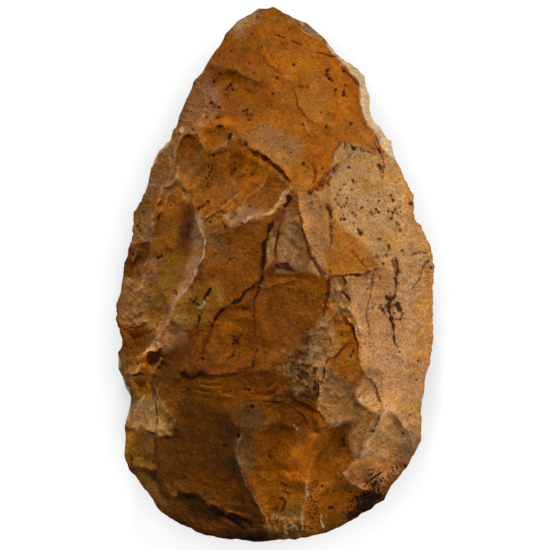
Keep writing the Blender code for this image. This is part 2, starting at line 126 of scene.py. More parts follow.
# Flake scars of the upper face:
# x, y, heading in degrees from +X, half length, half width, cupping, colour.
UPPER_SCARS = (
    # tip and upper right
    (4, 70, 100, 26, 15, 0.5, "gold"), (-11, 74, 60, 12, 6.5, 0.9, "amber"),
    (-12, 56, 30, 16, 10, 0.7, "rust"), (-23, 57, 70, 10, 5.5, 1, "rose"),
    (-27, 49, 50, 7, 5, 1.1, "rose"), (13, 56, 70, 11, 7, 0.5, "amber"),
    (25, 57, 105, 10, 4.5, 1, "gold"), (32, 45, 120, 10, 4.5, 1, "salmon"),
    (21, 68, 130, 9, 4, 1, "gold"), (11, 78, 145, 8, 3.5, 1, "gold"), (4, 42, 90, 20, 14, 0.45, "amber"),
    (29, 21, 78, 22, 13.5, 0.9, "sand"), (42, 18, 100, 12, 5, 1, "salmon"),
    # left shoulder
    (-18, 43, 20, 7.5, 5, 1.2, "tawny"), (-27.5, 37, 100, 10, 6, 1.4, "tawny"),
    (-8, 27, -25, 18, 10, 1.3, "amber"), (-19, 33, 60, 9, 7, 1, "rust"), (-15, 16, 10, 8, 4, 0.8, "dun"),
    # left margin
    (-31, 8, 98, 23, 8.5, 1.5, "tawny"), (-42, 16, 80, 8, 4.5, 1.1, "hazel"),
    (-37.5, 31, 75, 8, 4.5, 1, "rose"), (-42.5, 4, 60, 8, 4.5, 1.6, "tawny"),
    (-46, -11, 75, 10, 5.5, 1.1, "amber"), (-38, -10, 110, 13, 6, 1, "tawny"),
    (-42.5, -21, 40, 8, 5.5, 1.6, "umber"), (-31, -20, 60, 9, 7, 0.8, "hazel"),
    (-37.5, -28, 40, 4.5, 3.5, 1.6, "umber"), (-46, -33, 100, 8, 3.5, 1, "olive"),
    (-42, -36, 60, 6.5, 5, 1.2, "umber"), (-42, -45, 80, 8, 5.5, 1.2, "dun"),
    (-34, -46, 85, 8, 5, 0.7, "olive"), (-43, -56, 90, 9, 7, 1, "tawny"),
    (-39, -69, -50, 10, 6, 1.3, "walnut"),
    # middle
    (-12, 3, 75, 20, 13, 0.35, "rust"), (-25, -11, 60, 14, 8, 0.6, "tawny"),
    (-13, -20, 80, 15, 14, 0.4, "amber"), (5, 8, 80, 9, 7, 0.7, "fawn"), (5, -12, 0, 15, 13, 0.4, "rust"),
    (13, 13, 105, 14, 5.5, 0.3, "sand"), (25, 6, 30, 10, 7, 0.6, "gold"),
    # right
    (33, -14, 95, 18, 9, 0.5, "salmon"), (43, -15, 92, 20, 8, 0.8, "salmon"),
    (45, 3, 90, 10, 6, 0.9, "sand"), (41, -34, 95, 13, 8, 0.7, "salmon"),
    (22, -20, 100, 9, 6, 1.6, "amber"), (14, -24, 80, 10, 6, 0.8, "dun"),
    # lower left
    (-25, -48, 80, 19, 14, 0.6, "umber"), (-24, -66, 50, 14, 11, 0.8, "tawny"),
    (-8, -39, 0, 17, 9, 0.7, "rust"), (-15, -80, -12, 17, 7, 1.5, "umber"),
    (-30, -74, -30, 9, 5, 1.2, "umber"),
    # lower right
    (27, -43, 70, 15, 7, 1.1, "fawn"), (30, -38.5, 60, 7, 5, 0.6, "salmon"),
    (38, -53, 60, 12, 8, 1.1, "dun"), (31, -62, 45, 10, 7, 0.9, "dun"),
    (10, -44, -30, 10, 6, 0.7, "tawny"), (17.5, -57, 65, 13, 7, 1.4, "rust"),
    (-1, -63, 75, 16, 8, 0.8, "amber"), (6, -78, 0, 12, 7, 1.1, "amber"),
    (21, -74, 30, 10, 7.5, 1, "rust"), (34, -71, 40, 8, 5, 1, "tawny"),
)

# Broad swellings left between the scars: x, y, heading, half length, half width, height.
SWELLINGS = (
    (37, -20, 95, 30, 12, 1.2),
    (13, 12, 105, 16, 7, 0.8),
)

# Crests, hinge steps and cracks of the upper face: kind, height, reach, points along it. A crest is rubbed
# pale along its top, partly wear and partly a painted highlight, and a ridge isn't. A step stands up on the
# left of its run, seen from above, and eases back over its reach, and a lip is a step rubbed pale the same
# way.
CRESTS = (
    # tip
    ("ridge", 0.8, 2.6, ((-20.5, 67.2), (-18, 66.6), (-14.5, 65.1), (-10.5, 63.1), (-6, 61.6), (-3, 61.3))),
    ("ridge", 0.35, 1.6, ((-10, 76), (-6.5, 71), (-2.8, 68), (2, 63), (7.5, 59.8))),
    ("ridge", 0.5, 2.2, ((-26, 60), (-20, 57), (-17, 52), (-15.5, 45.3))),
    ("crest", 0.98, 1, ((4, 81.3), (8, 79), (11, 76.8), (15, 74.3))),
    ("crest", 0.98, 1, ((16.5, 72.5), (19, 69.5), (22, 65.5), (25, 62), (27, 60))),
    ("crest", 1.12, 1.1, ((27, 60), (27.5, 55), (28.2, 51), (29.8, 48), (32, 44.5), (34, 41), (36, 37.5))),
    ("ridge", 0.5, 1.6, ((36, 37.5), (39, 30), (40, 20), (42, 10))),
    ("step", 0.5, 4, ((6, 58), (6.5, 55), (8, 52), (10.5, 49.5), (14, 47.5), (19, 46.5))),
    ("ridge", 0.42, 0.8, ((7.5, 59.8), (9.7, 58.5), (10.5, 61), (12, 63.5), (16, 64))),
    ("ridge", 0.35, 0.8, ((16, 63), (16.5, 57), (17, 53), (18, 49.5))),
    ("crest", 0.49, 0.6, ((10.2, 48), (10.6, 45.5), (11.4, 43))),
    # left shoulder
    ("crest", 1.12, 1, ((-26, 46.8), (-24.2, 48.8), (-22.3, 51))),
    ("crest", 0.7, 0.7, ((-24.6, 46.8), (-23, 49))),
    ("step", 0.7, 3, ((-25, 45), (-22.5, 47.3), (-20.5, 47.6), (-18, 46.5), (-15.5, 45.3))),
    ("crest", 1.26, 0.8, ((-19.8, 37.8), (-17, 39.5), (-15.5, 41), (-14, 43))),
    ("crest", 0.7, 0.5, ((-18.4, 37.6), (-16, 39), (-14.3, 41))),
    ("crest", 1.12, 1.1, ((-21, 39), (-24, 42.3), (-26, 44), (-28.5, 44.6), (-30.5, 43), (-31.3, 40),
        (-31.5, 36))),
    ("ridge", 0.5, 1.6, ((-21.5, 39), (-22, 35), (-25, 29))),
    ("crest", 1.26, 0.9, ((-30.3, 35), (-30.8, 32.5), (-31.5, 30.5), (-33, 28.8), (-35, 27.8),
        (-36.5, 27.5))),
    ("crest", 0.98, 0.9, ((-41, 27.4), (-39, 28), (-37.5, 27.8), (-36, 27))),
    ("crest", 0.7, 0.7, ((-28, 24), (-30, 24.5), (-29, 26))),
    # rippled scar
    ("step", 1.7, 6, ((-9, 39.8), (-6, 38.5), (-4, 37.2), (-2, 35.5), (-0.5, 34), (2, 32), (4, 30.5),
        (5.5, 29))),
    ("ridge", 0.5, 1.6, ((-10.2, 37), (-11, 31.5), (-13.5, 27.5), (-16, 25.5), (-20, 23.5))),
    ("crest", 1.4, 1.1, ((-10.5, 26), (-12, 24.3), (-15, 22), (-18, 20), (-21, 18), (-23, 16.5))),
    ("crest", 0.98, 1.1, ((-1.6, 33.7), (-2.7, 31), (-5, 27.7), (-8.5, 24.2), (-11, 20.5), (-14, 18))),
    ("crest", 1.54, 1.2, ((4.2, 27.3), (3, 25.5), (1.6, 23.2), (0, 20.7), (-2, 19.2), (-4.7, 18.8),
        (-8.5, 17.2), (-11, 16), (-13.5, 15.6))),
    ("ridge", 0.7, 0.6, ((-14.2, 17.3), (-13, 19.2), (-11.4, 18.4))),
    ("ridge", 0.7, 0.6, ((-11, 18.4), (-9.5, 20.2), (-7.8, 19))),
    ("ridge", 0.7, 0.6, ((-7.6, 19), (-6, 20.8), (-4.4, 19.8))),
    ("ridge", 0.6, 2, ((-22, 14), (-18, 15.8), (-13.5, 15.6))),
    # long hollow
    ("crest", 1.2, 1.5, ((-25, 20), (-24, 17), (-22.5, 14), (-22.3, 10), (-23, 6), (-24.5, 2),
        (-26, -1), (-28, -5))),
    ("crest", 1.3, 1.8, ((-28, -5), (-31, -9), (-33, -13), (-35, -17), (-38, -21), (-40, -24.5))),
    ("crest", 0.7, 0.8, ((-31, -5), (-34, -10), (-36, -15), (-38, -19))),
    ("crest", 1.4, 1.1, ((-36, 27), (-36.5, 24), (-37.5, 21), (-38.5, 18), (-38.5, 15), (-39.5, 12))),
    ("ridge", 0.9, 1.8, ((-39.5, 12), (-38.5, 6), (-40, 1))),
    ("crest", 0.7, 0.7, ((-34, 26), (-35, 22), (-37, 19))),
    ("ridge", 0.7, 1.2, ((-25, 20), (-28, 23), (-31, 24))),
    # left margin
    ("crest", 0.56, 0.6, ((-44, 17), (-40, 14))),
    ("crest", 0.56, 0.6, ((-44.5, 15), (-41, 11))),
    ("crest", 0.7, 0.8, ((-45, 10), (-42, 10.5), (-39, 11))),
    ("crest", 0.98, 0.8, ((-43.5, 8.5), (-44.8, 6), (-45, 4))),
    ("crest", 0.7, 0.8, ((-40, 5), (-41.5, 2), (-43, -1))),
    ("crest", 1.12, 0.9, ((-47.5, -4.5), (-46, -3), (-44, -1))),
    ("crest", 1.26, 1, ((-41, 0), (-42, -3), (-44, -5.3), (-45, -5.5))),
    ("crest", 0.7, 0.6, ((-46.5, -11.5), (-45, -13), (-42, -11))),
    ("crest", 0.84, 0.7, ((-46, -15), (-43, -14.5), (-40.5, -14))),
    ("crest", 0.84, 0.8, ((-48, -19), (-46.5, -17.8), (-43, -17.2), (-40, -17.8), (-38, -16))),
    ("crest", 0.5, 1.4, ((-48, -26), (-44, -26.5), (-41, -26))),
    ("lip", 1.5, 3, ((-41, -26), (-38, -25.5), (-36.3, -24.7), (-35, -23))),
    ("crest", 1.4, 0.9, ((-35.8, -26), (-36.5, -28), (-38, -30), (-39.5, -31.5))),
    ("crest", 1.12, 0.9, ((-48.5, -31), (-45, -31.5), (-41, -32), (-39.7, -31.6))),
    ("crest", 1.26, 1.1, ((-39.5, -31.8), (-38.5, -34), (-37, -37), (-36, -40), (-33.5, -43),
        (-31.6, -46), (-31.6, -48.5), (-32.5, -50.8))),
    ("ridge", 0.6, 2, ((-46, -39.5), (-42, -39.5), (-37.5, -39.5))),
    ("ridge", 0.7, 1.6, ((-37.3, -40), (-37.5, -44), (-38, -50))),
    ("ridge", 0.7, 2.2, ((-38, -50), (-37.7, -55), (-38, -61))),
    ("lip", 1.2, 2, ((-44.5, -48.2), (-42, -49.4), (-39, -49.9), (-37, -51), (-32.5, -51))),
    ("crest", 0.7, 1.8, ((-46.5, -61), (-41.5, -61.9), (-38.3, -63))),
    ("ridge", 1, 2, ((-38.3, -63), (-35, -67), (-33, -71), (-33, -74.5), (-32, -76.5))),
    # butt, left
    ("step", 1, 4, ((-32.5, -70.3), (-27, -69.3), (-23, -71.5), (-20, -73), (-16, -75), (-12, -76.5),
        (-7, -78.5))),
    ("ridge", 1.26, 1, ((-23, -74.2), (-18, -76.4), (-13, -80), (-9, -82.8), (-5, -84.2))),
    ("crest", 1.2, 2.2, ((-10.5, -50), (-11.9, -54), (-12, -56), (-11.3, -60), (-9.5, -65), (-7.3, -69),
        (-4.8, -74), (-2.6, -78), (-1.6, -83))),
    ("step", 1, 4, ((-31, -30.2), (-28.5, -31), (-26, -32.8), (-22.5, -30), (-19, -31.8), (-12, -31),
        (-5.7, -28.5))),
    ("ridge", 0.4, 3, ((-5.7, -28.5), (-8, -38), (-10.5, -50))),
    # middle
    ("step", 0.9, 4, ((6.9, 24.8), (8.5, 14.5), (10.5, 9.7), (12.1, 5), (14.5, 1), (16.5, -0.2))),
    ("step", 0.7, 3, ((16.5, -0.2), (20, -0.7), (24, -0.5), (27.5, 0), (30, 1), (33, 2.5))),
    ("crack", 0.7, 0.7, ((17, 22), (17.6, 18), (17.6, 12), (17.4, 9))),
    ("ridge", 0.5, 2.5, ((12, 33), (14, 24), (19, 14), (26, 6), (32, 1), (39, -3))),
    ("crack", 0.56, 0.8, ((24, 8), (26, 5.5), (28, 3.2), (29, 1.5))),
    ("crest", 0.49, 0.9, ((-8, -3.9), (-2, -3.5), (3, -2.6), (8, -1.6))),
    ("ridge", 0.56, 1, ((-13, -13.8), (-10.5, -14.2), (-7.5, -14))),
    ("crest", 0.98, 0.7, ((-23.4, -9.4), (-22.4, -10), (-21.6, -8.6), (-21, -7))),
    # right
    ("step", 0.25, 4, ((18, 35), (19, 38.5), (20.5, 40.5), (23, 41.5), (25, 40), (28, 39.8), (31, 38.5),
        (33, 36))),
    ("step", 0.5, 2, ((16.5, -0.5), (16.8, -5), (16.2, -10), (15.3, -15))),
    ("step", 0.55, 2.4, ((20.5, -12.5), (23, -14.5), (24.5, -17), (25, -20))),
    ("step", 0.3, 2, ((25, -20), (26, -24), (26.5, -29), (28.5, -33))),
    ("ridge", 0.4, 2.5, ((31, 0), (30, -10), (30, -20))),
    ("ridge", 0.4, 2.5, ((37, 3), (37, -8), (38, -20), (41, -30))),
    ("lip", 1.7, 5, ((12, -49.3), (15, -49), (17, -48.5), (19, -47.3), (21, -46.5), (23.2, -46.2),
        (25, -48))),
    ("ridge", 1.1, 2, ((11, -49), (8, -51.5), (6, -54), (4.5, -58), (3.5, -61))),
    ("ridge", 0.7, 2.5, ((3.5, -61), (3, -67), (1, -76))),
    ("crest", 1.12, 1, ((35, -42), (33, -44.5), (31, -47), (29.5, -50), (28, -54), (27, -57.5),
        (24, -61.5), (21.7, -63.2))),
    ("crest", 0.84, 0.8, ((34.5, -43.5), (32, -48), (30, -52), (28.6, -57))),
    ("crest", 1.26, 1.1, ((36.5, -42), (39, -45.5), (41.5, -49), (43.8, -53), (44.3, -56))),
    ("crest", 0.98, 1, ((25.6, -35), (25.4, -37), (27, -40.5), (29, -42.7), (31, -44.2), (33.5, -43.8))),
    ("step", 0.35, 1.4, ((28.5, -32), (30.5, -33.6), (32, -36), (33, -38.5), (34, -41))),
    ("crest", 0.9, 1.4, ((21.7, -63.2), (25, -66), (28.5, -67.8), (31, -69.5), (33, -70.5), (38, -68))),
    ("step", 0.5, 2.5, ((4, -38), (8, -40), (11.7, -42.3), (14.5, -44.3), (17, -48))),
    ("ridge", 0.4, 2, ((21.7, -63.2), (17, -70), (15, -78))),
    ("ridge", 0.4, 2, ((4, -38), (3, -45), (6, -54))),
    ("crest", 0.7, 0.7, ((10, -65), (9.8, -70), (9, -74), (8.7, -79), (9.5, -82))),
    ("crest", 0.56, 0.6, ((14.5, -75.5), (15.5, -79), (16, -81))),
    ("crack", 0.7, 0.7, ((18, -51), (15, -56), (13, -60), (12, -64))),
)

# Ripples spread from where a flake was struck: x, y, heading, spread, from, to, spacing, height.
RIPPLES = (
    (-40, 50, -45, 34, 14, 48, 4.2, 0.17),
    (-40, 50, -45, 34, 14, 48, 1.9, 0.07),
    (-2, -50, 95, 55, 10, 34, 4.6, 0.08),
    (-52, 16, 0, 70, 5, 14, 1.9, 0.13),
    (-52, -20, 55, 50, 5, 14, 1.8, 0.14),
    (-12, -8, -90, 80, 22, 34, 2.6, 0.13),
    (-12, 40, -90, 30, 66, 84, 2.6, 0.13),
    (-12, 40, -90, 28, 68, 84, 1.3, 0.05),
    (30, -80, 130, 60, 8, 26, 3.2, 0.10),
    (-15, 68, -130, 45, 4, 16, 1.6, 0.06),
    (-5, -40, -112, 32, 32, 46, 2.6, 0.09),
    (24, -46, -152, 40, 8, 22, 2.5, 0.07),
    (-41, 42, -60, 40, 3, 14, 2.0, 0.07),
)

# The underside is plainer: rings of scars struck inwards from all round the edge.
# Each ring: number, distance from the middle as a share of the outline, half length, half width, cupping.
LOWER_RINGS = (
    (17, 0.80, 13, 8.0, 1.0),
    (9, 0.50, 17, 12.0, 0.7),
)
LOWER_COLOURS = ("rust", "ochre", "tawny", "amber", "hazel", "tawny", "ochre")

# Small scars over the big ones: spacing, depth.
CHIPS = ((8.5, 0.6), (3.6, 0.28))
# Where the surface is smoother than elsewhere, or more broken up: x, y, heading, half length, half width,
# how much smoother.
SMOOTH = (
    (4, 62, 95, 34, 24, 0.85), (28, 20, 80, 25, 13, 0.7), (34, -15, 95, 24, 12, 0.55),
    (-12, 2, 75, 18, 12, 0.6), (-31, 8, 98, 18, 6, 0.8), (-24, -52, 60, 26, 16, 0.45),
    (-13, -20, 80, 12, 10, 0.4), (14, 12, 105, 14, 5, 0.6), (-42, 8, 85, 26, 7, -0.5),
    (-42, -24, 85, 18, 7, -0.5), (-36, 34, 70, 12, 6, -0.6), (-12, 17, 5, 12, 4, -0.8),
    (14, -26, 75, 12, 7, -0.6), (8, -36, -20, 14, 6, -0.4), (20, -8, 80, 8, 4, -0.6),
    (3, -78, 0, 9, 5, -0.5), (-24, 48, 40, 9, 5, -0.5), (10, -55, 60, 10, 6, 0.8),
    (18, -60, 60, 12, 7, 0.5), (1, -10, 80, 12, 8, 0.5),
)
# Unevenness too small to be a scar: spacing, height.
UNEVENNESS = ((9, 0.5), (4, 0.15), (1.8, 0.03), (0.9, 0.015))
# How far curves and borders wander from the way they are drawn: spacing, width.
WANDER = ((9, 0.9), (4, 0.5), (1.7, 0.25))
SMOOTHING = 4  # short straight pieces between two points of a drawn curve
HOLLOW = 1.5  # deepens all the hollow areas
HOLLOW_WALL = 2.2  # how far from its border a hollow area is at its full depth
CREST_ROUNDING = 0.2  # half width of a crest's rounded top

# Areas of one patina: colour, how softly its border fades, how hollow it is, points round it. Later ones
# lie over earlier ones.
AREAS = (
    # gold tip
    ("gold", 1, 0, ((0, 86), (6, 82), (15, 74), (27, 60), (30, 48), (33, 38), (28, 40), (20, 40),
        (17, 34), (9, 24), (4, 30.5), (-4, 38), (-9, 40.5), (-15.5, 45.3), (-17.5, 52), (-18, 58),
        (-20.5, 67), (-12, 80))),
    ("amber", 2, 0.4, ((-12, 81), (-6, 80), (-4, 72), (-3, 62), (-8, 61.5), (-14.5, 64.8), (-21, 67))),
    ("amber", 1.5, 0.7, ((-20.5, 66.8), (-14.5, 64.6), (-8, 61.5), (-2, 61), (-1, 54), (-4, 48),
        (-12, 48), (-17, 52))),
    ("honey", 0.5, 0.5, ((7.5, 59.8), (9.7, 58.5), (10.5, 61), (12, 63.5), (16, 64), (16.5, 57),
        (18, 50), (19, 46.5), (14, 47.5), (10.5, 49.5), (8, 52), (6.5, 55), (6, 58))),
    ("fawn", 1.5, 0, ((-9, 41.5), (-9, 45), (-3, 46.5), (4, 45), (8, 40), (6, 36), (2, 33.5),
        (-1, 35.5), (-5, 39))),
    ("honey", 0.8, 0.3, ((2, 33), (6, 36), (11, 35), (12.5, 31), (10, 26), (7, 24.5), (5, 28.5))),
    # left shoulder
    ("rose", 0.8, 0.5, ((-27, 61), (-20, 61), (-17.5, 56), (-18, 52), (-22, 47.5), (-25, 45), (-30, 45),
        (-33, 46))),
    ("gold", 0.8, 1.1, ((-25, 45), (-21.5, 48), (-18, 46), (-14, 43.5), (-16, 40), (-19.5, 38), (-22, 41))),
    ("hazel", 0.5, 0.9, ((-30, 44), (-26, 44), (-22, 40), (-22.5, 34), (-25, 29), (-29, 29),
        (-31.5, 35), (-31.5, 40))),
    ("amber", 3, 0, ((-30, 44), (-26, 44), (-23, 41), (-27, 38), (-31, 39))),
    ("fawn", 0.8, 0.6, ((-34, 44), (-30, 44), (-31.5, 38), (-30, 30), (-35, 25), (-42, 24), (-41, 33),
        (-37, 40))),
    # rippled scar
    ("ochre", 0.6, 0.9, ((-14, 43), (-9, 40.5), (-4.5, 38), (0, 34), (4, 30.5), (5, 28), (1, 22),
        (-6, 17), (-16, 16.5), (-23, 14), (-26, 20), (-25, 29), (-22, 35), (-19, 38))),
    ("amber", 2.5, 0, ((-20, 38), (-12, 40), (-8, 37), (-12, 31), (-17, 27), (-23, 30))),
    ("ginger", 1.5, 0, ((-8, 40), (-3, 36), (-1, 33), (-5, 29), (-10, 26), (-10, 32))),
    ("shell", 0.8, 0.2, ((-16, 17.8), (-13, 20), (-9, 20.7), (-5, 20.5), (-3, 18.8), (-8, 16.8),
        (-11, 15.4), (-14, 15.4))),
    ("hazel", 0.8, 0.3, ((-22.5, 17), (-17, 17.6), (-14.5, 15.8), (-17, 12.7), (-21.5, 13.5))),
    ("blush", 0.45, 0, ((5.4, 27.8), (4.6, 25), (3, 22.3), (0.5, 20.3), (-3, 18.9), (-1.2, 20.8),
        (1, 22.5), (3, 25.5))),
    ("tawny", 0.8, 0, ((-11.8, 25.2), (-13.5, 22.8), (-17, 20), (-22.5, 16.8), (-24.5, 15.5),
        (-23.8, 18.3), (-20, 20.8), (-16, 23))),
    # long hollow
    ("ochre", 0.6, 1, ((-36, 26), (-30, 23.5), (-25, 20), (-22.5, 11), (-25.5, 0), (-30.5, -9),
        (-36.5, -23.5), (-38, -14), (-40, 1), (-39, 11), (-37, 21))),
    ("tawny", 2, 0, ((-37, 25), (-30, 23), (-27, 21), (-29, 16), (-34, 17), (-37.5, 16))),
    ("sepia", 2.2, 0.2, ((-31, 21), (-27, 20.5), (-25.2, 15), (-26.5, 9), (-28.5, 6), (-30.5, 11),
        (-31, 17))),
    ("honey", 1.8, 0, ((-37, 14), (-32, 14.5), (-30.5, 11), (-33, 9), (-37, 10))),
    ("olivegold", 3.5, 0, ((-36, 4), (-32, 6), (-30, 2), (-32, -4), (-35, -5), (-37, -1))),
    ("rose", 1.5, 0, ((-40, 4), (-37.5, 5), (-37, -2), (-36, -9), (-38.5, -12), (-40, -3))),
    ("shell", 1.2, 0, ((-23.5, 20), (-21.7, 13), (-21, 9), (-22.5, 4), (-25, -1), (-28, -6), (-33, -13),
        (-38, -21.5), (-39.5, -24.5), (-37, -18), (-34, -12), (-31, -6), (-28.5, 0), (-26.5, 6),
        (-25.5, 12))),
    ("hazel", 1, 0.1, ((-34, 28), (-28, 28.5), (-25.8, 24), (-26.5, 22), (-30, 22.3), (-34, 24))),
    # left margin
    ("fawn", 0.6, 0.6, ((-45, 20), (-39, 22), (-38, 14), (-39, 10), (-46, 9))),
    ("rust", 0.6, 1.2, ((-46, 9), (-39.5, 10), (-40, 1), (-42, -3), (-47, -2))),
    ("rose", 2, 0, ((-43, 3), (-40, 4), (-40, -2), (-43, -3))),
    ("sand", 0.8, 0.7, ((-48, -2), (-43, -3), (-40, -2), (-37, -12), (-41, -17), (-46, -16), (-51, -13))),
    ("olive", 1, 0.3, ((-41, -4), (-37, -3), (-34, -12), (-36.5, -22), (-40, -17), (-40, -10))),
    ("rust", 0.8, 1.1, ((-49, -17), (-41, -17), (-36.5, -23.5), (-41, -26), (-50, -26))),
    ("amber", 2, 0, ((-48, -18), (-43, -17.5), (-42, -20), (-47, -21))),
    ("blush", 0.6, 0.2, ((-41.5, -25.5), (-38.5, -22), (-36.8, -19.5), (-35.9, -22), (-36.3, -24.5))),
    ("walnut", 0.6, 1.2, ((-40, -26), (-36.3, -24.8), (-36.2, -27), (-38.8, -30))),
    # middle
    ("tawny", 0.8, 0.4, ((-22, 12), (-15, 15.5), (-3, 17), (-3.5, 9), (-4, 1), (-5, -3), (-14, -9.5),
        (-17, -13), (-22, -21), (-28, -20), (-35, -19), (-28.5, -6), (-23.5, 5))),
    ("taupe", 3, 0, ((-22, 13), (-16, 12), (-15, 6), (-19, 3), (-22, 6))),
    ("olive", 2, 0.1, ((-26, -3), (-18, -3), (-17, -10), (-24, -16), (-32, -12))),
    ("sand", 1.5, 0.3, ((-35, -14), (-30, -12), (-28, -19), (-33, -23), (-36, -21))),
    ("amber", 0.8, 0.7, ((-15, -10.5), (-6, -8), (-6.5, -15), (-5.5, -21), (-6, -28), (-13, -31),
        (-22, -30), (-21.5, -20))),
    ("tawny", 0.8, 0.5, ((-5, -3), (4, 0.5), (16, -1), (17, -6), (15, -15), (7, -22), (1, -27),
        (-5.5, -25), (-6.5, -12))),
    ("fawn", 1, 0.5, ((1, 17), (4, 21), (7, 21), (9, 14), (11.5, 4), (9, 1), (2, 1.5), (0.5, 7))),
    ("sand", 0.5, 0.2, ((-3.2, 12), (-1.5, 14.5), (-0.2, 12), (-0.8, 8), (-0.9, 4), (-3, 3), (-3.3, 7))),
    ("sand", 0.5, 0.2, ((7, 25), (11, 24.5), (15, 23.5), (17.5, 19), (17.5, 11), (16, 5), (16.5, 0),
        (14.5, 1), (12, 5), (10.5, 9.7), (8.5, 15))),
    ("honey", 1, 0.6, ((17.3, 19), (20, 15), (25, 11), (31, 6), (33, 2.5), (29, 0.5), (22, -0.6),
        (16.5, -0.2), (16, 5), (17.3, 11))),
    ("rose", 1, 0.1, ((-36, -17), (-32.5, -14.5), (-29, -18), (-28, -21), (-30.5, -23.5), (-35.5, -23.5))),
    ("tawny", 1.6, 0.2, ((-36, -24.5), (-30, -23.3), (-25.5, -20.8), (-21.5, -22), (-22, -29.5),
        (-29, -30.5), (-36, -26.5))),
    # right
    ("biscuit", 0.8, 0.6, ((18, 34), (19, 39), (23, 41), (28, 40), (33, 37), (34.5, 32), (37, 26),
        (39, 16), (40, 8), (38, 2), (33, 3), (30, 8), (22, 14), (18.5, 20), (17.5, 27))),
    ("wheat", 1.5, 0.4, ((33, 38), (38, 44), (46, 25), (52, 8), (46, 6), (40, 8), (39, 16), (37, 26),
        (34.5, 32))),
    ("biscuit", 0.8, 0.5, ((40, 6), (43, 6.5), (48.5, 7.2), (48.7, 4), (46.5, -1), (45, -3), (42, -6),
        (39, -4), (38.5, 1))),
    ("salmon", 0.6, 0.4, ((22, -1), (27, 0), (33, 1.5), (38, 3), (39, -4), (42, -6), (45, -3),
        (48.5, 5), (53, 0), (53, -30), (49, -54), (44.5, -54), (40, -46), (36.5, -42), (34, -42),
        (32, -36), (28.5, -32), (26.5, -28), (25.5, -21), (22.8, -14), (23.3, -8))),
    ("apricot", 2, 0, ((46, 0), (54, 0), (53, -30), (47, -30), (44, -18))),
    ("gold", 0.6, 0.5, ((18, -14), (22, -12), (24.5, -17), (25.5, -22), (27, -33), (24, -34), (18, -32),
        (16, -27), (20, -23.5), (19, -19))),
    ("sand", 1, 0.3, ((16, -12), (18.5, -15), (19.5, -20), (20, -23), (16, -27), (15.5, -32), (13, -33),
        (11, -28), (11, -20), (14, -16))),
    ("fawn", 1, 0.3, ((17, -1), (22, -1.5), (24, -8), (24, -12), (20, -14), (18, -11), (17.5, -5))),
    ("taupe", 1.5, 0.3, ((8, -19), (11, -21), (11, -28), (13, -33), (12.5, -38), (8, -39), (1, -35),
        (2, -29), (5, -24))),
    # lower left
    ("umber", 1, 0.7, ((-36.5, -25), (-31, -30), (-25, -33), (-11, -43), (-12, -54), (-11, -60),
        (-4, -75), (-8, -78), (-18, -74), (-33, -70), (-38.3, -62), (-38, -50.5), (-31, -48),
        (-33, -43), (-38, -37), (-39.5, -31.5))),
    ("ginger", 1.2, 0.15, ((-26, -33), (-19, -32), (-6, -30.5), (2, -32), (4, -37), (-2, -40),
        (-12, -39), (-25, -37))),
    ("gold", 2, 0, ((-26, -37), (-12, -39), (0, -40), (2, -43), (-10, -43), (-22, -42))),
    ("amber", 3, 0, ((-26, -64), (-14, -64), (-10, -68), (-16, -71), (-24, -68))),
    ("bistre", 0.6, 1.2, ((-33, -77), (-32.5, -70.5), (-27, -69.5), (-18, -74), (-8, -78), (-2, -84),
        (-2, -88), (-22, -86))),
    ("walnut", 0.5, 1.3, ((-47, -62), (-38, -63.5), (-34.5, -68), (-32.8, -71), (-33, -78), (-42, -71))),
    ("olive", 0.5, 0.5, ((-49, -51), (-38, -50.5), (-37.7, -55), (-38, -61.5), (-45, -61.5), (-49, -57))),
    ("buff", 0.5, 0.6, ((-46, -41), (-41, -40.5), (-38, -42), (-38, -50), (-44, -49), (-48, -48))),
    ("buff", 0.5, 0.4, ((-37, -40), (-34, -43), (-32, -47), (-32.5, -50.5), (-37, -50.5))),
    ("honey", 0.8, 0.8, ((-46, -33), (-40, -32.5), (-39, -36), (-38.5, -39.5), (-42, -39.5), (-45, -38))),
    ("fawn", 0.6, 0.5, ((-51, -28), (-46, -29), (-45, -34), (-44.5, -40), (-47, -41), (-50, -35))),
    # lower right
    ("gold", 0.8, 0.6, ((-11.5, -42), (-5, -41), (4, -40), (5, -50), (4, -60), (3, -66), (1, -74),
        (-1.5, -84), (-7, -69), (-11, -60), (-12, -54))),
    ("fawn", 1.5, 0.2, ((-12, -51), (-8, -51), (-6, -57), (-7, -64), (-11, -60))),
    ("taupe", 2, 0.2, ((-11, -42), (-4, -42), (-3, -48), (-7, -50), (-12, -49.5))),
    ("orange", 0.8, 0.5, ((12, -49), (16, -49), (17, -52), (13, -57), (12, -62), (11, -66), (5, -64),
        (4, -60), (6, -54))),
    ("gold", 1, 0.6, ((16, -49), (21, -46.5), (24, -48), (24, -54), (26, -58), (22, -63), (17, -67),
        (13, -67), (12, -62), (15, -56))),
    ("amber", 1, 0.3, ((4, -38), (8, -40), (12, -42), (16, -48), (12, -49), (6, -47), (3, -43))),
    ("sand", 0.8, 0.7, ((17, -32), (22, -34), (26, -36), (27, -40.5), (32, -44.5), (29, -51), (26, -60),
        (24, -56), (24, -48), (21, -46), (17, -47.5), (14, -42), (14, -37))),
    ("straw", 0.5, 0.35, ((25.5, -37), (28, -33), (31, -34.5), (33.5, -38), (34, -42), (31, -44),
        (27, -40.5))),
    ("dun", 0.6, 0.3, ((36.5, -42.5), (34, -45), (31, -51), (29.5, -58), (36, -59), (43, -59),
        (44.5, -54), (40, -46))),
    ("clay", 0.6, 0.7, ((29.5, -57), (26, -60), (21.7, -63.2), (25, -66), (31, -69.5), (38, -72),
        (43, -62), (42, -59), (36, -59))),
    ("gold", 0.8, 0.7, ((12, -66), (17, -67), (21.7, -63.5), (25, -66), (31, -70), (36, -74), (22, -82),
        (10, -85), (9.5, -74))),
    ("olive", 1.5, 0.2, ((3, -73), (9.5, -72), (9, -86), (-3, -87), (-0.5, -79))),
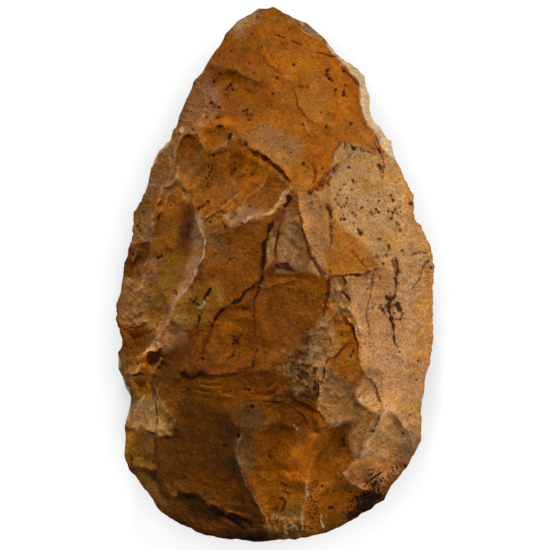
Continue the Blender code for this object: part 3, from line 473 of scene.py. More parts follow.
    ("taupe", 0.8, 0.1, ((-45.5, -62.5), (-41, -63), (-38, -65), (-36.2, -69), (-35.5, -75), (-37, -77),
        (-42, -71))),
    ("fawn", 0.8, 0.4, ((-12, -50), (-9.5, -53), (-8, -57), (-9.3, -62), (-11.5, -59), (-12.5, -55))),
    ("umber", 0.5, 0, ((-36.5, -52), (-30.8, -51), (-30.2, -57), (-31, -64), (-30.5, -69), (-34, -67),
        (-37, -61))),
    # fresh edges
    ("flax", 0.5, 0.2, ((4, 82), (8, 79.8), (11.5, 77.2), (14.5, 75), (16, 77), (9, 82), (5, 84))),
    ("chalk", 0.4, 0.2, ((16.5, 73), (19, 69.8), (22, 66.8), (24.5, 63.8), (27, 60.2), (27.6, 56),
        (27.8, 52), (29.5, 49), (31.5, 46), (34, 42.5), (36, 38), (38.5, 38), (38.5, 44), (32, 54),
        (31, 62), (28, 67), (20, 74))),
    ("fawn", 1.5, 0.3, ((-5, 87), (-5, 82), (-8.5, 77.5), (-10.5, 75), (-15, 77), (-13, 83))),
    ("flax", 1.2, 0, ((-5.8, 86), (-6, 82.5), (-8.5, 79.3), (-11.5, 77.5), (-14, 78.5), (-12, 83))),
)

# Where the stain lies thinner and paler (a factor over 1) or thicker and darker (under 1): x, y, heading,
# half length, half width, factor. In part these stand in for light and shade on relief that isn't modelled.
STAIN_AND_PAINTED_LIGHT = (
    (-17, 47.5, -10, 6, 2.5, 1.75), (-30, 22, 80, 8, 2.8, 1.5), (-36, 20, 0, 3, 2, 1.3),
    (-2.5, 7, 85, 5, 1.3, 1.3), (1, 29, 80, 5, 2.5, 1.4), (9.5, 9, 100, 7, 2.5, 1.35),
    (-41, -30, 55, 6, 3.5, 2.5), (-38.5, -26, 0, 3, 2, 1.6), (-43, -18, 0, 5, 2, 1.8),
    (-45, -5, -50, 6, 2.5, 1.4), (-30, -2, 80, 4, 3, 1.25), (-29, -10, 60, 4, 3.5, 1.25),
    (-12, -14.5, -40, 7, 4, 1.4), (-30, -36, 60, 6, 4.5, 1.5), (-22, -34, 0, 6, 3, 1.2),
    (31, -36, -40, 6, 3.5, 1.7), (18, -36, 0, 5, 3, 1.25), (12, -43, -45, 8, 2.5, 1.45),
    (4, -53, 0, 4.5, 5, 1.7), (5, -60.5, 0, 7, 4, 1.9), (7, -72, -10, 8, 5, 2.9), (6, -74, 0, 4, 4, 1.45),
    (21, -71, 10, 7, 3, 1.6), (29, -58.5, 15, 8, 4, 1.6), (36.5, -61.5, 0, 5, 3, 2.1),
    (40, -50, -40, 7, 3, 1.5), (21, -53, 60, 4, 2, 1.4), (-22, -62, 0, 8, 4, 1.45),
    (-37, -68, -45, 8, 3.2, 1.9), (-34, -19, 20, 4, 3, 1.5), (-14, -77.5, -8, 8, 2.2, 2),
    (-21, -79.5, -15, 6, 2, 1.9), (30, 32, -60, 8, 5, 1.12), (-12, 37, 0, 10, 2, 1.4),
    (-3, 38, 0, 4, 2, 1.2), (13, -5, -60, 8, 3, 1.45), (2, -2, 0, 7, 2, 1.2), (24, -17, -65, 5, 2, 2.4),
    (45, -20, 90, 6, 4, 1.25), (-7, 53, 0, 5, 4, 1.25), (-26, 54, 60, 6, 2.5, 1.15),
    (3, -34, -10, 8, 2, 1.35), (32, -1, 0, 6, 2, 1.15), (48, -2, 90, 3, 2, 1.2), (28, 57, 90, 6, 2, 1.15),
    (-44.5, 15, 90, 3, 1.5, 1.4), (-9, 12, 0, 4, 3, 1.15), (-20, 47, 0, 3, 2, 1.4),
    (-15, 37, -10, 7, 2.5, 1.6), (-31, 24, 60, 5, 4, 1.5), (-34.5, 20.5, 0, 3, 3, 1.5),
    (-18, 18.5, 20, 4, 2, 1.8), (5, -2.8, 0, 9, 2, 1.25), (17, -9, 90, 4, 2, 1.7),
    (22, -14, -60, 3, 2, 1.9), (-46, -18, 0, 4, 2, 2.2), (-42, -30, 60, 4, 3, 2.3),
    (-31, -38, 60, 6, 4, 1.55), (-20, -38, 0, 5, 3, 1.6), (-5, -43, 0, 5, 3, 1.4),
    (16, -43, -45, 6, 3, 1.4), (-47, -53, 90, 4, 2, 1.7), (-33, -72.5, -40, 4, 3, 1.8),
    (-12, -76, -25, 6, 2.5, 2.4), (24.5, -69.5, 20, 4, 2, 1.8), (33, -46, -20, 4, 3, 1.4),
    (40.5, -50, -50, 5, 3, 1.2), (10, 66, 0, 8, 5, 1.22), (15, 40, 0, 5, 4, 1.2),
    (-27, 50, 70, 5, 4, 1.2), (37, -9.5, 0, 4, 2, 1.2), (-33.5, -60, 90, 9, 3, 0.85),
    (-21, 62, 30, 6, 4, 0.7), (3, 57, 0, 6, 6, 0.85), (-21, 31, 80, 4.5, 3, 0.68),
    (-31, 33, 90, 4, 2, 0.7), (-25, 16.5, 70, 4, 2.5, 0.6), (-17, 14.5, 0, 5, 2, 0.75),
    (-29, -26.5, 8, 7, 2.2, 0.62), (-22, -29.5, 0, 4, 2, 0.55), (-13, -30.5, 0, 9, 2.5, 0.72),
    (2, -45, -10, 7, 3.5, 0.46), (-10, -47, 0, 6, 4, 0.52), (8, -48.5, -30, 4, 3, 0.55),
    (-13, -38, 0, 11, 4, 0.72), (-10, -57, 80, 7, 4, 0.75), (34, 9, 50, 5, 3, 0.75),
    (43, 8, 0, 4, 3, 0.85), (10.5, -22, 90, 4, 2.2, 0.62), (22, -26, 90, 3, 2, 0.72),
    (-46.5, -40, 90, 7, 1.5, 0.45), (-50, -10, 90, 5, 1.5, 0.5), (-48.5, -21, 90, 3, 1.5, 0.5),
    (46, -14, 90, 7, 3, 0.88), (-9, 19.5, 0, 5, 2, 0.72), (1.5, 18, 0, 3, 3, 0.66),
    (-14, 24, 30, 5, 1.5, 0.75), (0.5, 4, 90, 4, 1.3, 0.7), (8, 2, 0, 5, 1.5, 0.8),
    (23, -46.5, 0, 3, 3, 0.62), (0, -28.5, 0, 6, 2, 0.72), (4, -16, 0, 5, 4, 0.86),
    (-17, -6, 0, 4, 3, 0.9), (9, 80, -35, 6, 1.5, 0.7), (-3, 84, 0, 4, 1.5, 0.7),
    (26, 64, -60, 3, 1.5, 0.75), (12, 24, 0, 5, 3, 0.88), (-44, 20, 0, 2, 2, 0.8),
    (-44, -67.5, -50, 8, 2.2, 0.5), (-36.5, -77, -35, 9, 3, 0.62), (-21, -84, -8, 12, 2.5, 0.5),
    (-3, -85, 0, 12, 3, 0.2), (13, -83.5, 12, 9, 2.5, 0.45), (25, -79, 28, 9, 3, 0.25),
    (36, -70.5, 50, 9, 3, 0.3), (41.5, -58, 65, 7, 4, 0.42), (-16, -71, -20, 8, 2.5, 0.75),
    (26, -66.5, 20, 5, 3, 0.68), (-27, -48, 0, 4, 4, 0.88), (-35, 14, 0, 3, 3, 0.77),
    (-25.5, 17, 70, 4, 2.5, 0.72), (-8.5, 20, 0, 4, 2.5, 0.77), (1, 17, 80, 3, 2, 0.5),
    (10.5, 3, -40, 3.5, 2, 0.68), (4.5, 1.2, 0, 4, 1.5, 0.5), (-31, -24.5, 10, 5, 2, 0.52),
    (1.5, -38.5, -20, 4, 1.5, 0.5), (10.5, -34.5, 80, 3, 2, 0.55), (-11.5, -55, 80, 6, 2.2, 0.68),
    (-45, -63, -50, 4, 2.5, 0.55), (-24, -77, -20, 4, 2.5, 0.6), (-8.5, -71, -60, 4, 2.5, 0.6),
    (-4, -83.5, 0, 8, 2.5, 0.5), (18, -76, 20, 5, 3, 0.62), (36, -56.5, 0, 5, 3, 0.8),
    (31, -46, 0, 2, 2, 0.9), (-30, 51, 62, 5, 2, 0.65), (-29, 17, 85, 5, 2.5, 1.7),
    (-18, 3, 0, 4, 3, 1.45), (-11.5, -16, -20, 6, 3, 1.35), (14, 30, 50, 4, 3, 1.4),
    (9, 17, 80, 5, 2, 1.3), (2, 30, 80, 4, 2, 1.25), (24, -14, -65, 5, 2, 1.3), (13, 51, 0, 5, 3, 0.88),
    (16, -58, 0, 6, 4, 0.88), (30, -71.5, 25, 5, 3, 0.75), (-5.5, -74, -60, 5, 2, 0.8),
    (-30, 50, 62, 6, 2, 0.7), (7, -74, 0, 5, 3, 1.2), (-18, 21, 30, 6, 2, 1.25), (-28, 7, 75, 6, 2, 1.25),
)

# Coloured lines along cracks, crests and the edge: stain, half width, points. Some black lines, at the feet
# of steps and lips, are painted shadow.
STAINS = ("black", "red", "cream", "rubbed_and_highlit")
FIELD = 1.8  # how far either side of a mark the surface knows of it
SPOT_SIZE = 0.72  # shrinks all the round marks
LINES = (
    # the black vein from the middle hollow down to the lower left, and the cracks beside it
    ("black", 0.9, ((5.2, 24.2), (4, 22.6), (3.4, 21.2))),
    ("red", 0.4, ((3.4, 21.2), (3, 19), (2, 17.5), (-0.5, 16.8), (-1.5, 15.5))),
    ("black", 1, ((-0.6, 16.2), (-1.6, 14.8), (-2.4, 13.2))),
    ("black", 0.45, ((-2.4, 13), (-3.2, 10.5), (-3.6, 8), (-4, 4), (-4.2, 1), (-4.8, -2.5), (-6.5, -4))),
    ("red", 0.8, ((-0.5, 17), (-2, 14), (-3.4, 9), (-3.9, 4), (-4.2, 1), (-4.9, -3), (-8, -5.3))),
    ("black", 0.5, ((-6, -3.8), (-9, -6), (-11.5, -8.2), (-13.5, -9.2))),
    ("red", 0.5, ((-5, -3), (-9, -6), (-11.5, -8.2), (-15.5, -9.8), (-17, -12.2), (-18.2, -14),
        (-20, -17), (-21, -19.5), (-22, -23), (-22.4, -29))),
    ("black", 0.3, ((-15.6, -10.2), (-17, -12.3), (-18.2, -14.1), (-19.6, -16.6))),
    ("red", 0.45, ((3.2, 18.5), (2.6, 16.5), (1.8, 14.5), (0.8, 11.5), (0.2, 9), (0.3, 6), (0.8, 3.5))),
    ("black", 0.22, ((1.6, 14), (0.8, 11.5), (0.2, 9), (0.4, 5.5))),
    ("black", 0.45, ((0.2, 3.6), (0.6, 2.5), (2.4, 1.8), (4.4, 1.5), (6, 0.6))),
    ("black", 0.35, ((1.8, 3.2), (3.4, 3.1), (4.4, 2.2), (5.4, 2))),
    ("red", 1.3, ((-3.5, 1.2), (-1, 1.2), (2, 2.4), (5, 1.6))),
    ("red", 0.2, ((5, 0.9), (7, 0.4), (9, 0.6))),
    ("black", 0.18, ((-5, -2.6), (-4.9, -5), (-5.6, -7.2), (-6.8, -9))),
    ("red", 0.25, ((-5, -5), (-6, -8), (-6.7, -12), (-6.5, -15), (-5.5, -20), (-5.7, -25), (-7, -28))),
    ("red", 0.5, ((-27, -20.5), (-24.5, -18.6), (-22, -17.5))),
    ("red", 0.3, ((-25.2, -14.5), (-25.8, -17.8))),
    ("black", 0.45, ((-23.4, -12.6), (-23.8, -14.6))),
    ("black", 0.2, ((-23.8, -14), (-24.4, -17))),
    ("black", 0.65, ((-20.6, -4), (-20.9, -6), (-21.8, -8))),
    ("cream", 0.32, ((-21.3, -7.8), (-21.8, -9.4), (-22.8, -10), (-23.6, -9.8))),
    # the lobe and its neighbours
    ("red", 0.35, ((6.9, 24.8), (8, 18), (8.5, 14.5), (10.3, 10.5))),
    ("red", 0.7, ((10.3, 10.5), (11.2, 7), (12.3, 4.5), (14.3, 1.4), (16.5, -0.2))),
    ("red", 0.85, ((16.6, 22), (17.4, 20), (17.9, 17.3))),
    ("black", 0.4, ((17, 21.2), (17.7, 18.6))),
    ("red", 0.35, ((17.5, 16), (17.8, 13), (17.6, 9.5))),
    ("red", 0.9, ((17.8, 31.5), (17.3, 29.5), (17, 27.6))),
    ("red", 0.5, ((12, 35.5), (13.2, 33), (12.8, 30.5), (12, 28.5))),
    ("red", 0.4, ((10.5, 26), (13.6, 27), (15, 28.5), (15.2, 31))),
    ("red", 0.2, ((24, 8), (26, 5.5), (28, 3.2), (29, 1.5))),
    ("red", 0.45, ((16.5, -0.6), (18.5, -1), (21, -1.1), (23, -0.8))),
    # painted shadow: the black line under the pale plate's lower edge, at the foot of its step
    ("black", 0.38, ((23.4, -0.7), (25.5, -0.4), (27.4, 0))),
    ("red", 0.3, ((28, 0.2), (30, 1), (33, 2.5))),
    ("red", 0.35, ((18, 36), (18.5, 38.5), (20, 40), (21, 41.5))),
    ("red", 0.3, ((22.5, 38.8), (22.5, 41.5))),
    ("black", 0.3, ((24, 40.4), (25.6, 39.6))),
    ("red", 0.25, ((26, 40), (28.5, 39.4), (30.5, 38.6))),
    ("red", 0.35, ((31.5, 44), (33.5, 40), (34.3, 36), (34.6, 31))),
    ("black", 0.35, ((32.8, 34.8), (34, 33.2))),
    ("black", 0.3, ((31.6, 40.8), (33, 39), (33.6, 37.6))),
    ("red", 0.2, ((43, 6), (45.5, 7), (48.5, 7.2))),
    ("red", 0.25, ((48.7, 4), (47.5, 2), (46.5, -1), (45, -3), (43, -5))),
    # the salmon flank
    ("red", 0.22, ((31.6, 0.6), (30.6, -3.8), (29.8, -8.1), (29.6, -13.7), (30, -18.9))),
    ("black", 0.3, ((38.3, 5), (38.4, 1), (38, -3))),
    ("black", 0.5, ((38, -3), (37.6, -6.2), (36.2, -8.6), (36, -10), (36.2, -13))),
    ("black", 0.45, ((36.4, -13.5), (36.7, -15.5), (37.2, -18))),
    ("black", 0.3, ((37.6, -19), (38.8, -21.5), (39.4, -22.5))),
    ("black", 0.7, ((35, -6.6), (35.8, -7.8), (36.5, -8.2))),
    ("black", 0.8, ((38.4, -9), (38.9, -10.8), (39.4, -12.3))),
    ("red", 0.55, ((37, 5), (38, 1), (38, -4))),
    ("cream", 0.3, ((42, -7), (42.2, -9), (42.5, -11))),
    ("cream", 0.4, ((39.5, -22.5), (40.8, -25), (41.3, -27), (41, -30))),
    ("red", 0.45, ((16.7, -1), (17, -3), (16.9, -5))),
    ("black", 0.12, ((16.8, -1.2), (17, -3))),
    ("red", 0.45, ((16.7, -1), (17, -5), (16, -9), (15.5, -14))),
    ("black", 0.25, ((21.5, -1), (22, -2.6), (21.8, -4.2))),
    ("black", 0.28, ((20.5, -5.2), (22, -6.8), (23.4, -8.8))),
    ("cream", 0.3, ((19.5, -2.5), (20.6, -5), (22, -8))),
    ("cream", 0.3, ((22, -10), (24, -12), (25, -11))),
    ("red", 0.35, ((22.5, -14), (24.3, -17), (25.3, -21), (25.8, -24))),
    ("black", 0.4, ((24.2, -16.5), (25.3, -21))),
    ("red", 0.5, ((16, -28.5), (17, -26.5), (19, -25.5), (21, -23.5), (22.5, -21.5))),
    ("black", 0.2, ((18, -26), (21, -23.5))),
    ("red", 0.35, ((15.6, -29), (15.3, -33), (14.4, -35.5))),
    ("black", 0.15, ((15.7, -29), (15.4, -33))),
    ("red", 0.95, ((12.6, -34.5), (13, -37), (12.4, -39.5))),
    ("black", 0.35, ((13.6, -34.6), (13.8, -38.6))),
    ("black", 0.3, ((12.2, -34.2), (12.2, -36.4))),
    # black cracks in the middle
    ("black", 0.35, ((7.3, -24.1), (9.2, -25.2))),
    ("black", 0.22, ((5, -27.8), (6.2, -27.2), (7.2, -26.2))),
    ("black", 0.32, ((8, -28), (9.7, -28.8), (11.3, -28.6))),
    ("black", 0.35, ((8, -29.9), (9.4, -30.8), (10.6, -31.4))),
    ("black", 0.28, ((8.8, -32.3), (10.8, -32))),
    ("black", 0.2, ((5.8, -28.8), (8, -29.9))),
    ("black", 0.2, ((6.4, -31.4), (8.6, -32.6))),
    ("red", 0.8, ((9.4, -22.6), (10.4, -20.6), (12, -20))),
    ("red", 0.4, ((6.4, -25), (8, -26.6))),
    ("black", 0.2, ((-5, -39.5), (0, -39.7), (3, -40.5), (6, -42.5), (9, -45), (11, -48))),
    ("red", 0.3, ((4, -38), (8, -40), (11.7, -42.3), (14.5, -44.3), (16.8, -47.5))),
    ("red", 0.6, ((7.5, -37), (10, -38.2), (12.3, -38.8))),
    # rims of the plain and of the scars at the lower left
    ("red", 0.9, ((-31, -30.2), (-28.5, -31), (-26, -32.8), (-24, -31), (-22.5, -30), (-21, -30.2))),
    # painted shadow: the black line along the plain's upper rim, at the foot of its step
    ("black", 0.3, ((-31, -30.2), (-28.5, -31), (-26, -32.8), (-22.5, -30))),
    ("red", 0.25, ((-22.5, -30), (-19, -31.8), (-12, -31), (-7, -30.8), (-5.7, -28.5))),
    ("black", 0.35, ((-5.9, -27), (-6.3, -30))),
    ("red", 0.3, ((-38, -50.5), (-37.7, -55), (-38, -61))),
    ("red", 0.3, ((-44, -48.8), (-40, -50), (-38, -50.2))),
    ("black", 0.3, ((-40, -50.2), (-38, -50.5))),
    ("red", 0.3, ((-45, -61.3), (-41.5, -62), (-38.3, -63))),
    ("red", 0.35, ((-38.6, -33), (-38.6, -37), (-37.8, -40))),
    ("black", 0.2, ((-37.8, -40), (-37.4, -44), (-37.5, -48))),
    # painted shadow: the black lines under the spur's lip and along the tops of the two scars beside it
    ("black", 0.35, ((-40.5, -25.3), (-37, -25), (-35.2, -23.4))),
    ("black", 0.3, ((-48, -18), (-45.5, -16.8), (-42, -16.6))),
    ("black", 0.25, ((-45, -31.8), (-41, -32.2))),
    # painted shadow: the black lines along the foot of the butt's step
    ("black", 0.5, ((-20, -73), (-16, -75.6), (-13, -78), (-9, -82))),
    ("black", 0.4, ((-14, -75.5), (-10, -78), (-7, -80.5))),
    ("red", 0.5, ((-11.8, -49), (-11.9, -51.5))),
    # gold tip
    ("red", 0.2, ((-6.5, 71), (-4.5, 69.5), (-2.8, 68), (-1, 66), (1, 64.5), (2, 63))),
    ("red", 0.25, ((-14.5, 64.6), (-10.5, 62.6), (-6, 61.2), (-3, 61))),
    ("red", 0.3, ((6, 58), (6.5, 55), (8, 52), (10.5, 49.5))),
    ("red", 0.3, ((7, 59.6), (9.5, 59.2))),
    ("black", 0.16, ((0, 76.7), (2.7, 75.5))),
    ("black", 0.2, ((4.7, 74.8), (9, 72.8))),
    ("black", 0.18, ((13.5, 70.5), (16, 69.8), (19, 69))),
    ("black", 0.25, ((23.5, 63.5), (25.5, 61), (26.8, 60))),
    ("red", 0.6, ((21.5, 65.5), (24, 62.7), (26.5, 60.2))),
    ("red", 0.2, ((-13.4, 60), (-14.2, 57), (-15, 54))),
    ("red", 0.35, ((-9.5, 58), (-8.3, 58.3), (-7, 58))),
    # the step below the pale patch
    ("red", 0.4, ((-9, 40.5), (-7, 39), (-4.5, 38), (-2.5, 36), (0, 34), (2, 32), (4, 30.5), (5.5, 28.5))),
    # painted shadow: the black line at the foot of the step
    ("black", 0.25, ((-4.5, 38), (-2.5, 36), (0, 34))),
    ("red", 0.7, ((-11, 42.5), (-9.5, 41.5), (-8.7, 40))),
    ("black", 0.3, ((-18.5, 46.8), (-16.5, 45.8))),
    # pale crests and hinge lips, partly wear and partly painted highlights, and fresh chips
    ("cream", 0.8, ((-29.9, 46.6), (-28.8, 45.6))),
    ("cream", 0.25, ((25.7, -36.5), (26.5, -39.5), (29, -42.6), (31.5, -44))),
    ("cream", 0.3, ((10, -65), (9.8, -70), (9, -74), (8.7, -79), (9.5, -82))),
    ("cream", 0.25, ((14.5, -75.5), (15.5, -79), (16, -81))),
    ("cream", 0.3, ((34.5, -43.5), (32, -48), (30, -52), (28.6, -57))),
    ("cream", 0.3, ((-44.5, -43.5), (-42.5, -40.5), (-41, -38))),
    ("cream", 0.7, ((-39.7, 33.5), (-38.5, 37), (-36, 40.2), (-33.5, 43))),
    ("cream", 0.8, ((-46.5, -40.5), (-46.6, -44), (-46.9, -47))),
    ("cream", 1, ((-49.2, -26), (-49.5, -30), (-47.5, -35), (-46, -39))),
    ("cream", 0.3, ((7, 81.2), (9.5, 79.6))),
    ("cream", 0.8, ((17.5, 72.5), (20.5, 69.3), (24, 66.6))),
    ("cream", 1.1, ((28.5, 61), (29.3, 56.5), (29.3, 52), (31.5, 47.5))),
    ("cream", 0.9, ((31.5, 47.5), (33.8, 44.5), (36.5, 41.5), (36.7, 38.5))),
    ("cream", 0.5, ((17, -48.3), (19, -47.4), (21.2, -46.2))),
    ("cream", 0.6, ((21.4, -63), (22.6, -63.6))),
    ("cream", 0.25, ((-2, -77), (0, -76), (2, -78), (5, -76.8), (8, -78.5))),
    ("red", 0.55, ((1.2, -65.6), (4.2, -66.6))),
    ("black", 0.2, ((1.4, -65.7), (4, -66.5))),
    ("black", 0.22, ((2.3, -68.3), (5.2, -69.8))),
    ("black", 0.2, ((2, -71.3), (3.2, -73), (2.4, -75))),
    ("red", 0.55, ((2, -68.2), (5.6, -70))),
    ("red", 0.6, ((1.8, -71), (3.4, -73), (2.2, -75.6))),
    ("black", 0.25, ((0.8, -79), (1.6, -77))),
    ("black", 0.6, ((25.5, -71), (29, -70.5), (33, -70.3))),
    ("cream", 0.3, ((-22.6, 13), (-22.3, 9), (-23.6, 4), (-26, -1), (-29, -6), (-32, -10))),
    ("black", 0.8, ((26, -74.8), (28.5, -73.2), (31, -71.8), (33.5, -70.2))),
    ("black", 0.5, ((30.6, -67.4), (32, -66), (33.6, -65.6))),
    ("red", 0.2, ((3, -15), (5.5, -15.8), (8, -14.6))),
    ("red", 0.35, ((28.5, -32), (30.5, -33.6), (32, -36), (33, -38.5), (34, -41))),
)

# Round marks: stain, then x, y and radius of each.
SPOTS = (
    ("black", (
        (-19.3, 61.3, 0.8), (-17.3, 63.6, 0.5), (-14, 60.2, 0.7), (-15.2, 58.7, 0.5), (-13.2, 58.5, 0.5),
        (-9.8, 51.6, 0.5), (-8.7, 52.1, 0.45), (-7.3, 50.3, 0.5), (-8.8, 50.4, 0.4), (-8.1, 48.7, 0.5),
        (-20.2, 54.4, 0.8), (-17.7, 52.8, 0.5), (-18, 49.6, 0.45), (-21.6, 49.8, 0.5), (0.8, 62.2, 0.7),
        (-0.5, 57, 0.5), (6, 66.5, 0.6), (-5.5, 82, 0.35), (-4.2, 72.4, 0.35), (-8, 67, 0.4),
        (-14, 71, 0.4), (16.8, 64.8, 0.8), (17.3, 62.2, 0.8), (16.2, 63.5, 0.5), (18.2, 61.4, 0.4),
        (19.3, 58.4, 0.45), (21.8, 56.8, 0.75), (21.9, 58, 0.5), (22.3, 60, 0.4), (22, 64.5, 0.8),
        (24, 47.4, 0.6), (16.2, 46.3, 0.45), (14.7, 51.1, 0.35), (8.9, 47.1, 0.35), (9, 34.8, 0.7),
        (23.5, 33.8, 0.5), (18.5, 33.2, 0.6), (-14.3, 43.2, 0.9), (-14, 44, 0.7), (-9, 41, 0.8),
        (-19.5, 37.8, 0.5), (-12.7, 35.2, 0.45), (-12.5, 33, 0.45), (-13.7, 31.7, 0.4), (-7, 31.4, 0.4),
        (-26, 35.2, 0.3), (-28.6, 26.6, 0.5), (-24, 20.6, 0.55), (-22.5, 21.5, 0.5), (-21, 22.8, 0.6),
        (-20.2, 16.4, 0.5), (-15.5, 15, 0.6), (-7.8, 21.5, 0.35), (-5.8, 28, 0.3), (-14.3, 9.7, 0.5),
        (-14, 4.8, 0.4), (-12.3, 5.2, 0.35), (-6.7, 7.8, 0.35), (-5.5, 7, 0.35), (-18.5, 6.5, 0.4),
        (-36.8, 5.3, 0.7), (-35.8, 5.8, 0.5), (-31.5, -6, 0.3), (-25.3, -8.7, 0.5), (-24.6, -7.6, 0.4),
        (-26.3, -8, 0.4), (-24, -9.6, 0.45), (-9.8, -10.7, 0.55), (-8.6, -10.8, 0.4),
        (-12.3, -20.8, 0.75), (-11.6, -21.6, 0.5), (-12.8, -19.6, 0.35), (-13.2, -22, 0.4),
        (-10.9, -20, 0.4), (-10.3, -18.6, 0.3), (-13, -25.5, 0.5), (-14.3, -26.2, 0.35),
        (-12.7, -24.2, 0.3), (-22.5, -26.5, 0.6), (9.8, -6.5, 0.3), (9.5, -7.3, 0.3), (24.8, 29.2, 0.5),
        (24.5, 30, 0.35), (22, 17.3, 0.55), (24.5, 19.5, 0.45), (25.4, 18.4, 0.3), (26.3, 14.1, 0.5),
        (27, 13, 0.75), (32, 20.5, 0.5), (31, 19, 0.45), (32.6, 19.6, 0.3), (37, 17.7, 0.55),
        (36, 20, 0.4), (37.5, 23.5, 0.6), (36.8, 25, 0.4), (39.7, 14, 0.5), (34, 3.3, 0.55), (36, 9, 0.5),
        (34, -11.2, 0.8), (33, -10.6, 0.3), (39.7, -14.3, 0.5), (40.2, -13, 0.35), (39.5, -24.5, 0.35),
        (45.5, -27.5, 0.4), (23.8, -25.6, 0.6), (24.6, -24.2, 0.4), (21, -19, 0.4), (22.5, -15.5, 0.3),
        (8, -24.3, 0.45), (12.5, -29.5, 0.5), (12.8, -31, 0.4), (10.2, -35.2, 0.5), (8, -33, 0.4),
        (-28.5, -64.3, 0.5), (-30.3, -69.3, 0.65), (-22, -69.5, 0.4), (-12.7, -61.6, 0.6),
        (-13.3, -64, 0.4), (-16, -53.9, 0.75), (-14.8, -53.7, 0.5), (-7, -41.4, 0.75), (-8, -36.2, 0.65),
        (-9.4, -36, 0.4), (-27, -36.2, 0.5), (-45.5, -58.8, 0.5), (-45.5, -57.9, 0.4), (-43, -57.3, 0.35),
        (-11.5, -50.8, 0.8), (-11.2, -49.9, 0.4), (-1.5, -57.5, 0.55), (41.5, -60.8, 0.6),
        (40.7, -50.5, 0.4), (42.9, -44.7, 0.35), (45, -33.5, 0.35), (31, -49.5, 0.6), (32.2, -47.3, 0.35),
        (15, -67, 0.55), (18.7, -68.8, 0.5), (24, -69, 0.45), (17.5, -74.2, 0.7), (18.4, -74, 0.4),
        (21.5, -52.3, 0.7), (21.9, -54, 0.5), (-33.5, -27, 0.3), (-46.8, -25.5, 0.4), (-43.5, 15.5, 0.35),
        (-42.8, 13.8, 0.35), (-43.3, -28.3, 0.45), (24.3, 26.7, 0.35), (22.8, 24, 0.35),
        (22.5, 22.3, 0.4), (21, 21, 0.3), (21.5, 18.7, 0.35), (20.8, 17.3, 0.5), (25, 16.2, 0.35),
        (27.5, 21, 0.4), (33, 19.5, 0.4), (33, 23.3, 0.3), (31.5, 39.8, 0.45), (15, 27.8, 0.5),
        (15, 33.2, 0.4), (14, 28.2, 0.3), (13.3, 26.5, 0.4), (11, 25.5, 0.6), (11.5, 22.5, 0.35),
        (17.5, 15, 0.4), (18, 12, 0.4), (21.8, 28.3, 0.3), (20.6, 26.6, 0.35), (19.8, 25, 0.3),
        (19, 23.4, 0.3), (20, 22, 0.3), (37.5, 19.5, 0.5), (39, 19, 0.35), (43, 22.3, 0.6),
        (40.2, 7.5, 0.4), (48.6, 4, 0.5), (49.7, 2, 0.5), (33.5, -9.7, 0.3), (35.2, -9.8, 0.35),
        (40.4, -12.2, 0.35), (37.6, -12.2, 0.35), (38.2, -14.2, 0.3), (34.6, -12.6, 0.25),
        (12.8, -29.5, 0.35), (12, -31, 0.3), (7.2, -33.5, 0.3), (-17.5, 10.2, 0.35), (-12.2, 22.8, 0.3),
        (0.2, -7, 0.3), (2.3, -7.3, 0.35), (7.3, -6.8, 0.3), (4.3, -4.7, 0.3), (-10.2, 15.9, 0.4),
        (7, -15.2, 0.3), (10.4, -17.2, 0.35), (-5.8, 20.9, 0.3), (-26, 46, 0.3), (13, 43, 0.3),
        (5, 38.3, 0.3),
    )),
    ("red", (
        (-13.5, 63.7, 0.7), (-11, 62.8, 0.6), (-8.3, 58.3, 0.6), (10.4, 59.4, 0.8), (5.8, 58.5, 0.5),
        (-15.7, 56.8, 0.6), (-19, 53.5, 1), (-0.7, 57, 0.7), (-34, 8, 1), (-32.6, 7.4, 0.7),
        (-26.3, -57, 0.8), (-24.6, -56.8, 0.5), (-7, -49, 0.5), (27, 13, 1.2), (33, 11, 0.9),
        (36, 8, 0.8), (35.2, 6, 0.9), (32.3, 5.6, 0.9), (30.4, 19.8, 0.7), (18.5, 32.5, 1.3),
        (19.5, 34.4, 0.9), (11, 25.5, 1.2), (13.6, 28.5, 0.9), (15, 30, 0.9), (16.8, 31.5, 0.9),
        (38.2, 20.5, 0.8), (39, 16, 0.9), (43.5, 23, 0.7), (44, 22, 0.5), (17.3, 0.9, 0.8),
        (22.5, -0.3, 0.6), (33, -1, 0.5), (8.5, -20.5, 1.2), (6.5, -24, 0.9), (5.5, -37.4, 0.8),
        (-16, -37, 0.7), (-14, -36.5, 0.6), (-28, -14.5, 0.5),
    )),
    ("cream", (
        (-13, 43.4, 0.5), (23.8, -25.2, 0.35), (-29.3, 46, 0.3), (18.3, -46.4, 0.6), (19.6, -47.2, 0.45),
        (16.4, -0.4, 0.5), (30.5, 1.3, 0.7), (6, -47.4, 0.3), (7, -48.6, 0.35),
    )),
)

